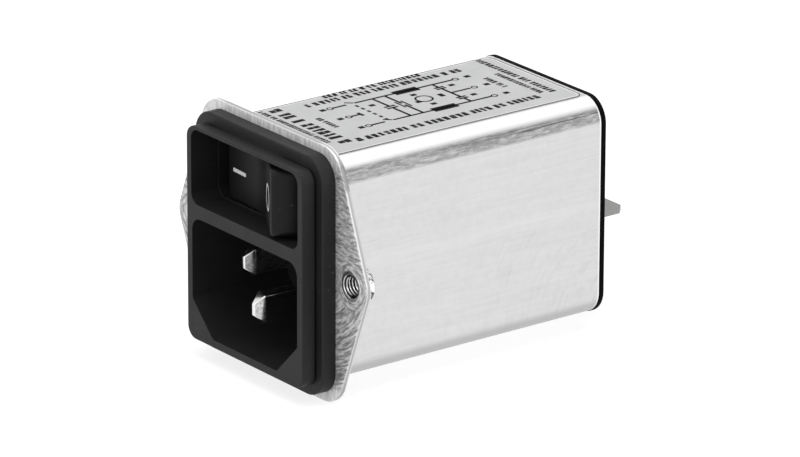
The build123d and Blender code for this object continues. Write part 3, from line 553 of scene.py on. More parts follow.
@dataclass(frozen=True)
class PinNickel(PlatedMetal):
    """Nickel on one inlet pin: bright edges of plain plate round facets darkened with painted shade.

    Attributes:
        tip: Where the pin's tip starts.
        middle_z: Height of the pin's middle.
        facet_shade_level: Level of the painted shade on the tip's facets.
        taper: Length of the coined tip.
        tip_half: Half height of the tip's front end.
        shaft_half: Half height of the flat pin.
    """

    tip: float = 0.0
    middle_z: float = 0.0
    facet_shade_level: float = 0.4
    taper: float = 1.45
    tip_half: float = 0.875
    shaft_half: float = 2.0

    def shade_colour(self, graph: Graph, colour: Socket) -> Socket:
        """Facets get painted shade between the tip and the end of the taper, but not near an edge.

        Half the height grows in a straight line over the taper, so the distance to the upper and lower
        edges is that half height less the distance from the pin's middle.

        Args:
            graph: The tree to build in.
            colour: The plate's colour.

        Returns:
            The changed colour.
        """
        _, y_mm, z_mm = graph.axes()
        behind = graph.minus(y_mm, self.tip)
        growth = (self.shaft_half - self.tip_half) / self.taper
        half = graph.sums("MULTIPLY_ADD", behind, growth, self.tip_half)
        room = graph.minus(half, graph.beyond(graph.minus(z_mm, self.middle_z), 0.0))
        inner = graph.times(graph.band(behind, 0.14, self.taper - 0.1, 0.05), graph.ease(room, 0.1, 0.24))
        # Painted shade on the tip's facets, with a little noise
        dull = graph.tones(graph.noise(graph.place(), 2.4, 4.0, 0.7), (self.facet_shade_level,) * 3, 0.7, 1.3)
        return graph.blend(inner, colour, dull)


@dataclass(frozen=True)
class LabelFoil(Finish):
    """Matt printed foil: pale grey with a fine rolled grain and a hint of metal."""

    def make(self, graph: Graph) -> bpy.types.Material:
        """Rolled grain runs along the can and shifts the colour by a few percent.

        Args:
            graph: The tree to build in.

        Returns:
            The finished material.
        """
        grain = graph.noise(graph.place((1.0, 0.3, 1.0)), 6.0, 4.0, 0.6)
        share = graph.between(0.5, graph.noise(graph.place(), 0.35, 3.0, 0.5), grain)
        colour = graph.tones(share, self.colour, 0.94, 1.05)
        return graph.surface(colour, self.rough(graph, grain, 0.05, 0.05), grain, 0.0015, Metallic=0.25)


@dataclass(frozen=True)
class PrintInk(Finish):
    """Thin printed ink: slightly uneven cover with a dull gloss."""

    def make(self, graph: Graph) -> bpy.types.Material:
        """Fine noise thins the ink here and there.

        Args:
            graph: The tree to build in.

        Returns:
            The finished material.
        """
        cover = graph.noise(graph.place(), 7.0, 3.0, 0.6)
        colour = graph.tones(cover, self.colour, 0.85, 1.25, 0.35, 0.75)
        return graph.surface(colour, self.rough(graph, cover), cover, 0.001, Specular_IOR_Level=0.06)


@dataclass(frozen=True)
class Ceramic(Finish):
    """Sintered or dipped coat: pitted grain under a thin gloss.

    Attributes:
        grain_mm: Size of one pit.
        depth_mm: Depth of the pits.
        coat: Weight of the clear coat.
    """

    grain_mm: float = 0.3
    depth_mm: float = 0.01
    coat: float = 0.0

    def make(self, graph: Graph) -> bpy.types.Material:
        """Pits roughen the surface where they are deep, and darken it there as painted shade.

        Args:
            graph: The tree to build in.

        Returns:
            The finished material.
        """
        pits = graph.noise(graph.place(), 1.0 / self.grain_mm, 5.0, 0.65)
        # Darker where the pits are deep, a painted shade
        colour = graph.tones(pits, self.colour, 0.75, 1.15)
        rough = self.rough(graph, pits, -0.06, -0.06)
        return graph.surface(colour, rough, pits, self.depth_mm, Coat_Weight=self.coat)


@dataclass(frozen=True)
class Laminate(Finish):
    """Glass-fibre board: two crossed sets of threads under green resist.

    Attributes:
        thread_mm: Pitch of the threads.
    """

    thread_mm: float = 0.45

    def make(self, graph: Graph) -> bpy.types.Material:
        """The product of two waves gives the weave, and noise blurs it.

        Args:
            graph: The tree to build in.

        Returns:
            The finished material.
        """
        x_mm, _, z_mm = graph.axes()
        turns = FULL_TURN / self.thread_mm
        warp, weft = (graph.sums("SINE", graph.times(axis, turns)) for axis in (x_mm, z_mm))
        weave = graph.sums("MULTIPLY_ADD", graph.times(warp, weft), 0.5, 0.5)
        share = graph.between(0.4, graph.noise(graph.place(), 1.2, 4.0, 0.6), weave)
        colour = graph.tones(share, self.colour, 0.75, 1.2, 0.2, 0.8)
        return graph.surface(colour, self.roughness, weave, 0.006)


@dataclass(frozen=True)
class WoundWire(Finish):
    """Enamelled copper wound close: one ridge a turn, seen as rings about the core's middle.

    Attributes:
        wire_mm: Pitch of the turns on the core's outside.
        outside: Radius of the core's outside.
        centre_z: Height of the core's axis.
    """

    wire_mm: float = 0.8
    outside: float = 7.35
    centre_z: float = -5.2

    def make(self, graph: Graph) -> bpy.types.Material:
        """Turns follow the angle about the core's axis, so the ridges fan out from it.

        Args:
            graph: The tree to build in.

        Returns:
            The finished material.
        """
        x_mm, _, z_mm = graph.axes()
        angle = graph.sums("ARCTAN2", graph.minus(z_mm, self.centre_z), x_mm)
        phase = graph.times(angle, self.outside / self.wire_mm * np.pi)
        ridge = graph.sums("ABSOLUTE", graph.sums("SINE", phase))
        share = graph.between(0.6, graph.noise(graph.place(), 1.5, 4.0, 0.6), ridge)
        # Darker between the turns as painted shade
        colour = graph.tones(share, self.colour, 0.5, 1.1, 0.1, 0.8)
        return graph.surface(colour, self.roughness, ridge, 0.15, Metallic=0.85, Coat_Weight=0.4)


FINISHES: dict[str, Finish] = {
    "housing_plastic": MouldedPlastic("black_moulding", (0.016, 0.016, 0.0165), 0.5, reflect=0.22),
    "base_plastic": MouldedPlastic("switch_base_moulding", (0.03, 0.03, 0.031), 0.55),
    "cover_plastic": MouldedPlastic(
        "rear_cover_moulding", (0.003, 0.003, 0.0031), 0.6, grain_mm=0.22, reflect=0.03
    ),
    "rocker_plastic": MouldedPlastic(
        "satin_rocker", (0.0085, 0.0085, 0.0088), 0.42, depth_mm=0.002, reflect=0.17
    ),
    "plunger_plastic": MouldedPlastic("white_acetal", (0.72, 0.71, 0.67), 0.4),
    "drawn_steel": DrawnSteel("tinned_drawn_steel", (0.625, 0.625, 0.625), 0.34),
    "plated_nut": ThreadedNut("zinc_plate", (0.56, 0.56, 0.56), 0.2, stretch=(1.0, 1.0, 1.0)),
    "label_foil": LabelFoil("matt_label_foil", (0.59, 0.592, 0.595), 0.55),
    "plated_pin": PlatedMetal("nickel_plate", (0.8, 0.8, 0.79), 0.2, depth_mm=0.0005, stain=0.1),
    "tinned_blade": PlatedMetal("tin_plate", (0.3, 0.3, 0.295), 0.4, stretch=(1.0, 0.15, 1.0), stain=0.4),
    "spring_wire": PlatedMetal("music_wire", (0.6, 0.6, 0.62), 0.3, stretch=(1.0, 1.0, 1.0)),
    "contact_copper": PlatedMetal("bare_copper_strip", (0.72, 0.42, 0.28), 0.32),
    "board_laminate": Laminate("green_glass_laminate", (0.1, 0.2, 0.07), 0.45),
    "ferrite": Ceramic("sintered_ferrite", (0.05, 0.05, 0.055), 0.6),
    "winding_wire": WoundWire("enamelled_winding", (0.62, 0.25, 0.1), 0.3),
    "capacitor_case": MouldedPlastic("yellow_case", (0.62, 0.5, 0.12), 0.35, reflect=0.5),
    "disc_coating": Ceramic("blue_dipped_coat", (0.05, 0.16, 0.42), 0.35, coat=0.5),
    "resistor_coating": Ceramic("grey_blue_lacquer", (0.3, 0.45, 0.5), 0.35, coat=0.5),
}
BLACK_INK = PrintInk("black_print_ink", (0.006, 0.006, 0.006), 0.6)
WHITE_INK = PrintInk("white_pad_ink", (0.9, 0.9, 0.89), 0.45)
PALE_INK = PrintInk("pale_margin_ink", (0.8, 0.8, 0.8), 0.5)


# Outlines, skins and pieces


def rounded_polygon(corners: Sequence[Pair], radii: Sequence[float], steps: int = 48) -> np.ndarray:
    """Closed outline with a round at each corner.

    At a corner with half angle h between its sides, the round of radius r starts r / tan(h) along each
    side, and its centre lies r / sin(h) along the bisector.

    Args:
        corners: Corner places in order.
        radii: One radius a corner.
        steps: Points on each round.

    Returns:
        Outline points, one row each.
    """
    outline = []
    for number, radius in enumerate(radii):
        here = np.array(corners[number])
        back = np.array(corners[number - 1]) - here
        ahead = np.array(corners[(number + 1) % len(corners)]) - here
        back, ahead = back / np.linalg.norm(back), ahead / np.linalg.norm(ahead)
        half = np.arccos(np.clip(back @ ahead, -1, 1)) / 2
        centre = here + (back + ahead) / np.linalg.norm(back + ahead) * radius / np.sin(half)
        start, end = (here + side * radius / np.tan(half) - centre for side in (back, ahead))
        first = np.arctan2(start[1], start[0])
        turn = (np.arctan2(end[1], end[0]) - first + np.pi) % FULL_TURN - np.pi
        angles = first + turn * np.linspace(0, 1, steps)
        outline.append(centre + radius * np.stack([np.cos(angles), np.sin(angles)], axis=1))
    return np.concatenate(outline)


def rounded_box(half_width: float, half_height: float, radius: float, steps: int = 48) -> np.ndarray:
    """Rectangle about the middle with one radius at all four corners.

    Args:
        half_width: Half the width.
        half_height: Half the height.
        radius: Radius of the corners.
        steps: Points on each round.

    Returns:
        Outline points, one row each.
    """
    corners = [(half_width, -half_height), (half_width, half_height),
               (-half_width, half_height), (-half_width, -half_height)]
    return rounded_polygon(corners, [radius] * 4, steps)


def circle(radius: float, count: int) -> np.ndarray:
    """Circle about the middle, as outline points."""
    turn = np.linspace(0, FULL_TURN, count, endpoint=False)
    return radius * np.stack([np.cos(turn), np.sin(turn)], axis=1)


def quarter_round(radius: float, steps: int) -> list[Pair]:
    """Points of a quarter round, as distances from the two faces that meet at the corner it replaces.

    The first distance falls from the radius to 0 while the second grows from 0 to the radius.
    """
    turn = np.linspace(0, np.pi / 2, steps)
    return list(zip(radius * (1 - np.sin(turn)), radius * (1 - np.cos(turn))))


def section(inner: float, outer: float, low: float, high: float) -> list[Pair]:
    """Corners of an upright rectangle, as distance and level."""
    return [(inner, low), (outer, low), (outer, high), (inner, high)]


def directions(even: int, clusters: Sequence[tuple[float, float, int]]) -> np.ndarray:
    """Directions about the middle, evenly spread and closer together where an outline turns.

    Args:
        even: How many are evenly spread.
        clusters: Middle, half spread and count of each closer set. All four quarters have it.

    Returns:
        Angles in rising order.
    """
    sets = [np.linspace(0, FULL_TURN, even, endpoint=False)]
    for middle, spread, count in clusters:
        sets += [place + np.linspace(-spread, spread, count)
                 for place in (middle, np.pi - middle, np.pi + middle, -middle)]
    return np.unique(np.round(np.concatenate(sets) % FULL_TURN, 4))


def reach(outline: np.ndarray, angles: np.ndarray) -> np.ndarray:
    """Distance from the middle to an outline in each direction.

    The outline's sides are sampled so closely that a straight interpolation over the angle holds.

    Args:
        outline: The outline's points.
        angles: The directions.

    Returns:
        One distance a direction.
    """
    closed = np.concatenate([outline, outline[:1]])
    lengths = np.concatenate([[0], np.cumsum(np.linalg.norm(np.diff(closed, axis=0), axis=1))])
    dense = np.linspace(0, lengths[-1], 40000)
    x, z = np.interp(dense, lengths, closed[:, 0]), np.interp(dense, lengths, closed[:, 1])
    seen = np.arctan2(z, x) % FULL_TURN
    order = np.argsort(seen)
    return np.interp(angles, seen[order], np.hypot(x, z)[order], period=FULL_TURN)


def upright(outline: np.ndarray, depth: float, x: float = 0.0, z: float = 0.0) -> np.ndarray:
    """Ring of an outline that stands across the Y axis, moved to a place."""
    return np.column_stack([outline[:, 0] + x, np.full(len(outline), depth), outline[:, 1] + z])


def flat(outline: np.ndarray, level: float) -> np.ndarray:
    """Ring of an outline that lies at a level."""
    return np.column_stack([outline, np.full(len(outline), level)])


@dataclass
class Skin:
    """A closed surface as points and faces, before it becomes a piece.

    Attributes:
        points: Point places in millimetres, one row each.
        faces: Four-cornered faces, as rows of point numbers.
        caps: Many-cornered faces that close open ends.
    """

    points: np.ndarray
    faces: np.ndarray
    caps: Sequence[np.ndarray] = ()

    @classmethod
    def over(cls, rings: Sequence[np.ndarray], looped: bool = False) -> "Skin":
        """Skin over a row of closed rings that have the same number of points.

        Args:
            rings: The rings' points.
            looped: Join the last ring to the first. Otherwise a face closes each end.

        Returns:
            The skin.
        """
        rows, count = len(rings), len(rings[0])
        down, along = np.arange(rows if looped else rows - 1)[:, None], np.arange(count)[None, :]
        next_down, next_along = (down + 1) % rows, (along + 1) % count
        corners = (down * count + along, down * count + next_along,
                   next_down * count + next_along, next_down * count + along)
        caps = () if looped else (np.arange(count), np.arange(count) + (rows - 1) * count)
        return cls(np.concatenate(rings), np.stack([corner.ravel() for corner in corners], axis=1), caps)

    @classmethod
    def about_y(cls, rings: Sequence[tuple[float, np.ndarray]], angles: np.ndarray, looped: bool,
                middle_x: float = 0.0) -> "Skin":
        """Skin over rings across the Y axis: a point is its direction times how far the ring reaches there.

        Args:
            rings: Depth of each ring, and its reach in each direction.
            angles: The directions.
            looped: Join the last ring to the first. Otherwise a face closes each end.
            middle_x: Where the rings' axis stands.

        Returns:
            The skin.
        """
        compass = np.column_stack([np.cos(angles), np.sin(angles)])
        around = [upright(reached[:, None] * compass, depth, middle_x) for depth, reached in rings]
        return cls.over(around, looped)

    @classmethod
    def joined(cls, parts: Sequence["Skin"]) -> "Skin":
        """One skin from several closed ones.

        Args:
            parts: The closed skins.

        Returns:
            The joined skin.
        """
        starts = np.cumsum([0] + [len(part.points) for part in parts])
        faces = [part.outward_faces() + start for part, start in zip(parts, starts)]
        return cls(np.concatenate([part.points for part in parts]), np.concatenate(faces))

    def outward_faces(self) -> np.ndarray:
        """The four-cornered faces, turned round if the volume inside them comes out negative.

        Returns:
            The faces, as rows of point numbers.
        """
        a, b, c, d = (self.points[self.faces[:, corner]] for corner in range(4))
        volume = np.sum(a * np.cross(b, c)) + np.sum(a * np.cross(c, d))
        return self.faces if volume >= 0 else self.faces[:, ::-1]

    def piece(self, name: str, sharp: float = 40.0) -> Piece:
        """Write the skin to a mesh object that stands at the origin.

        Args:
            name: The piece's name.
            sharp: Edges that bend by more than this many degrees stay sharp.

        Returns:
            The new object, linked to the scene.
        """
        faces = self.outward_faces()
        numbers = np.concatenate([faces.ravel(), *self.caps])
        counts = np.array([4] * len(faces) + [len(cap) for cap in self.caps])
        mesh = bpy.data.meshes.new(name)
        mesh.vertices.add(len(self.points))
        mesh.vertices.foreach_set("co", (self.points * MM).astype(np.float32).ravel())
        mesh.loops.add(len(numbers))
        mesh.loops.foreach_set("vertex_index", numbers.astype(np.int32))
        mesh.polygons.add(len(counts))
        mesh.polygons.foreach_set("loop_start", (np.cumsum(counts) - counts).astype(np.int32))
        mesh.update(calc_edges=True)
        mesh.validate()
        if self.caps:
            rework(mesh, lambda work: bmesh.ops.recalc_face_normals(work, faces=work.faces))
        shade(mesh, sharp)
        return linked(name, mesh)


def linked(name: str, data: bpy.types.ID) -> Piece:
    """New object at the origin, linked to the scene.

    Args:
        name: The object's name.
        data: Its mesh, lamp or camera.

    Returns:
        The new object.
    """
    made = bpy.data.objects.new(name, data)
    bpy.context.scene.collection.objects.link(made)
    return made


def rework(mesh: bpy.types.Mesh, change: Callable[[bmesh.types.BMesh], object]) -> None:
    """Open a mesh, let `change` edit it and write it back.

    Args:
        mesh: The mesh.
        change: What edits it.
    """
    work = bmesh.new()
    work.from_mesh(mesh)
    change(work)
    work.to_mesh(mesh)
    work.free()


def shade(mesh: bpy.types.Mesh, sharp: float) -> None:
    """Shade a mesh smooth, apart from edges that bend by more than `sharp` degrees.

    Args:
        mesh: The mesh.
        sharp: Largest bend of an edge that stays smooth.
    """
    mesh.polygons.foreach_set("use_smooth", np.ones(len(mesh.polygons), dtype=bool))
    mesh.set_sharp_from_angle(angle=radians(sharp))
    mesh.update()


def round_edges(piece: Piece, width_mm: float) -> None:
    """Put a small round on a piece's sharp edges and weight its normals by area.

    Args:
        piece: The piece.
        width_mm: Width of the round, or 0 for none.
    """
    if width_mm:
        bevel = piece.modifiers.new("edge_round", "BEVEL")
        bevel.width = width_mm * MM
        bevel.segments = 3
        bevel.limit_method = "ANGLE"
        bevel.angle_limit = radians(SOLID_SHARP)
        bevel.harden_normals = True
    weighted = piece.modifiers.new("area_weighted_shading", "WEIGHTED_NORMAL")
    weighted.keep_sharp = True
    weighted.weight = 80


def softened_copy(node: str, name: str, bevel_mm: float = 0.0) -> Piece:
    """Copy of a CAD node with its doubles merged, its flat faces joined and its edges rounded.

    Args:
        node: The CAD node.
        name: The new piece's name.
        bevel_mm: Width of the round on its sharp edges, or 0.

    Returns:
        The new piece, which stands for the node.
    """
    def merge(work: bmesh.types.BMesh) -> None:
        """Merge doubles and join faces that lie in one plane.

        Args:
            work: The open mesh.
        """
        bmesh.ops.remove_doubles(work, verts=work.verts, dist=2e-6)
        bmesh.ops.dissolve_limit(
            work, angle_limit=radians(0.4), verts=work.verts, edges=work.edges, use_dissolve_boundaries=False
        )

    mesh = frame["nodes"][node].data.copy()
    mesh.name = name
    rework(mesh, merge)
    if "custom_normal" in mesh.attributes:
        mesh.attributes.remove(mesh.attributes["custom_normal"])
    shade(mesh, SOLID_SHARP)
    made = linked(name, mesh)
    round_edges(made, bevel_mm)
    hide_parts(node)
    return made


def pierced(solid: Piece, drills: Sequence[Piece]) -> Piece:
    """Take drills away from a solid for good, and remove the drills.

    Args:
        solid: The closed piece to pierce.
        drills: Closed pieces that stand for the holes.

    Returns:
        The same piece with its new mesh.
    """
    for drill in drills:
        pierce = solid.modifiers.new("pierce", "BOOLEAN")
        pierce.object = drill
        pierce.operation = "DIFFERENCE"
        pierce.solver = "EXACT"
    bpy.context.view_layer.update()
    mesh = bpy.data.meshes.new_from_object(solid.evaluated_get(bpy.context.evaluated_depsgraph_get()))
    solid.modifiers.clear()
    solid.data = mesh
    shade(mesh, 40.0)
    for drill in drills:
        bpy.data.objects.remove(drill)
    return solid


class Body(Enum):
    """The moving bodies that new pieces ride on."""

    MODULE = "module"
    ROCKER = "rocker"


def dress(piece: Piece, slot: str, body: Body | None = Body.MODULE, finish: Finish | None = None) -> Piece:
    """Give a piece its finish, its slot and, unless it is a CAD node, its body.

    Args:
        piece: The piece.
        slot: The material slot it takes its finish from.
        body: The body it rides on, or None for a CAD node.
        finish: A finish other than the slot's own.

    Returns:
        The same piece.
    """
    material = (finish or FINISHES[slot]).material()
    if piece.material_slots:
        for place in piece.material_slots:
            place.material = material
    else:
        piece.data.materials.append(material)
    if body is not None:
        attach(piece, body.value)
    return piece


# Sub-assemblies


@dataclass
class FilterCan:
    """Drawn can with its six-sided flange, made as one closed skin.

    Attributes:
        half_width: Half the can's width.
        half_height: Half the can's height.
        bend: Radius of the four long bends.
        wall: Thickness of the can's wall.
        length: Depth of the can behind the panel face.
        flange_half: Half the flange's width at its ears, before they are rounded.
        flange_half_height: Half the flange's height.
        flange_top_half: Half the width of its upper and lower sides.
        corner: Radius of its four other corners.
        ear: Radius of its two ears.
        flange: Thickness of the flange.
        draw: Radius between the flange's back and the can.
        mouth: Radius of the can's mouth.
        hole_x: Distance of each screw hole from the middle.
        hole: Radius of the holes for the nuts.
        edge: Radius of the sheared edges.
    """

    half_width: float = 13.7
    half_height: float = 15.7
    bend: float = 3.5
    wall: float = 0.5
    length: float = 45.9
    flange_half: float = 21.7
    flange_half_height: float = 18.1
    flange_top_half: float = 14.8
    corner: float = 4.4
    ear: float = 3.2
    flange: float = 0.8
    draw: float = 0.6
    mouth: float = 1.0
    hole_x: float = 18.0
    hole: float = 2.12
    edge: float = 0.1

    def skin(self) -> Skin:
        """The closed skin.

        Each point is a direction about the Y axis times a station of the section path. The path runs
        from the back rim along the outer wall, out over the draw radius to the flange's back, round the
        sheared edge, in over the front face, round the mouth and back along the bore. At each station
        the ring is the can's outline moved out by an offset, or the flange's outline moved in, or a mix.

        Returns:
            The skin.
        """
        bend = np.arctan2(self.half_height - self.bend / 2, self.half_width - self.bend / 2)
        corner = np.arctan2(self.flange_half_height - 0.6, self.flange_top_half)
        angles = directions(320, [(bend, 0.17, 44), (corner, 0.13, 20), (0.0, 0.07, 24)])
        upper = [(self.flange_half, 0.0), (self.flange_top_half, self.flange_half_height),
                 (-self.flange_top_half, self.flange_half_height)]
        hexagon = upper + [(-x, -z) for x, z in upper]
        flange = reach(rounded_polygon(hexagon, [self.ear, self.corner, self.corner] * 2), angles)

        def can(offset: float) -> np.ndarray:
            """Ring of the can's outline, moved out by an offset."""
            outline = rounded_box(self.half_width + offset, self.half_height + offset, self.bend + offset)
            return reach(outline, angles)

        outer, root, lip, bore = can(0.0), can(self.draw), can(self.mouth - self.wall), can(-self.wall)
        rim = flange - self.edge
        far = self.length - self.edge
        rings = [(depth, outer) for depth in np.linspace(far, self.flange + self.draw + 0.08, 26)]
        rings += [(self.flange + rise, can(offset)) for rise, offset in quarter_round(self.draw, 8)]
        rings += [(self.flange, root + (rim - root) * share) for share in (0.04, 0.35, 0.68, 0.97)]
        rings += [(self.flange - drop, flange - inset) for inset, drop in quarter_round(self.edge, 4)]
        rings += [(drop, flange - inset) for inset, drop in quarter_round(self.edge, 4)[::-1]]
        rings += [(0.0, rim + (lip - rim) * share) for share in (0.03, 0.35, 0.68, 0.96)]
        rings += [(depth, can(offset - self.wall)) for offset, depth in quarter_round(self.mouth, 7)]
        rings += [(depth, bore) for depth in np.linspace(self.mouth + 0.1, far, 4)]
        rings += [(self.length, can(offset)) for offset in (-self.wall + self.edge, -self.edge)]
        return Skin.about_y(rings, angles, looped=True)

    def build(self) -> Piece:
        """Make the skin, pierce it for the nuts and dress it.

        Returns:
            The can's piece.
        """
        shell = self.skin().piece("filter_can_shell")
        drills = [
            Skin.over([upright(circle(self.hole, 96), depth, side * self.hole_x)
                       for depth in (-1.0, self.flange + 1.0)]).piece(f"drill_{side}")
            for side in (-1, 1)
        ]
        pierced(shell, drills)
        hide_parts("filter_can")
        return dress(shell, "drawn_steel")


@dataclass
class ClinchNuts:
    """Two threaded nuts pressed into the flange, each one closed skin with a real thread in its bore.

    Attributes:
        spacing: Distance between the two screw axes.
        minor: Radius at the thread's crest.
        pitch: Rise of the thread in one turn.
        thread: Depth of the thread.
        shank: Radius of the part inside the flange.
        head: Radius of the head behind the flange.
        flange: Thickness of the flange.
        length: Whole length from the panel face.
        bevel: Width of the head's chamfers.
    """

    spacing: float = 36.0
    minor: float = 1.25
    pitch: float = 0.5
    thread: float = 0.3
    shank: float = 2.08
    head: float = 2.45
    flange: float = 0.8
    length: float = 2.45
    bevel: float = 0.35

    def skin(self, middle_x: float) -> Skin:
        """One nut as a section path turned about its axis.

        In the bore the radius also depends on the turn: it rises and falls as a triangle wave of the depth
        divided by the pitch less the turn divided by a full circle, which draws the screw thread. The wave
        fades out over half a turn at both ends.

        Args:
            middle_x: Where the nut's axis stands.

        Returns:
            The skin.
        """
        turn = np.linspace(0, FULL_TURN, 96, endpoint=False)
        start, back = self.minor + self.bevel, self.length - self.bevel
        outside = [
            (start, 0.0), (start + 0.05, -0.015), (self.shank - 0.06, -0.015), (self.shank, 0.04),
            (self.shank, self.flange - 0.02), (self.head - 0.08, self.flange),
            (self.head, self.flange + 0.08), (self.head, back), (self.head - self.bevel, self.length - 0.02),
            (self.head - self.bevel - 0.06, self.length), (start + 0.04, self.length), (start, self.length),
        ]
        depths = np.linspace(back, self.bevel, 46)
        phase = (depths[:, None] / self.pitch - turn[None, :] / FULL_TURN) % 1.0
        wave = 1 - np.abs(2 * phase - 1)
        fade = np.clip(np.minimum(depths - self.bevel, back - depths) / (self.pitch / 2), 0, 1)[:, None]
        bore = self.minor + self.thread * np.clip(wave * 1.25 - 0.12, 0, 1) * fade
        rings = [(depth, np.full(len(turn), radius)) for radius, depth in outside] + list(zip(depths, bore))
        return Skin.about_y(rings, turn, True, middle_x)

    def build(self) -> Piece:
        """Make both nuts as one piece, as the solid is.

        Returns:
            The nuts' piece.
        """
        both = Skin.joined([self.skin(side * self.spacing / 2) for side in (-1, 1)])
        nuts = both.piece("clinch_nut_pair", 30.0)
        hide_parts("clinch_nuts")
        return dress(nuts, "plated_nut")


class Run(Enum):
    """Which way a printed bar or row runs."""

    ALONG = "along the can"
    ACROSS = "across the can"


@dataclass(frozen=True)
class Stroke:
    """One straight printed bar on the label.

    Attributes:
        start: First end, as (x, y).
        end: Other end.
        width: Width of the bar.
    """

    start: Pair
    end: Pair
    width: float

    @classmethod
    def level(cls, run: Run, level: float, start: float, end: float, width: float) -> "Stroke":
        """A bar along or across the can, at one level on the other axis.

        Args:
            run: Which way the bar runs.
            level: Its place on the other axis.
            start: Where it starts.
            end: Where it ends.
            width: Its width.

        Returns:
            The bar.
        """
        if run is Run.ALONG:
            return cls((level, start), (level, end), width)
        return cls((start, level), (end, level), width)


@dataclass(frozen=True)
class PrintRow:
    """A row of plain blocks that stands for a line of print.

    Attributes:
        run: Which way the row runs.
        level: Place of the row's middle on the other axis.
        start: Where it starts.
        end: Where it ends.
        height: Height of the blocks.
        seed: Seed of the block lengths.
    """

    run: Run
    level: float
    start: float
    end: float
    height: float
    seed: int

    def strokes(self) -> list[Stroke]:
        """Two courses of uneven small blocks, with a wider gap every few blocks.

        Returns:
            The blocks.
        """
        draw = np.random.default_rng(self.seed)
        made = []
        at = self.start
        while at < self.end - 0.3 * self.height:
            cell = self.height * draw.uniform(0.46, 0.78)
            for side in (-1, 1):
                start, end = at + cell * draw.uniform(0.0, 0.22), at + cell * draw.uniform(0.8, 1.0)
                level, tall = self.level + side * self.height * 0.26, self.height * draw.uniform(0.42, 0.56)
                made.append(Stroke.level(self.run, level, start, end, tall))
            at += cell + self.height * (0.45 if draw.random() < 0.16 else 0.1)
        return made


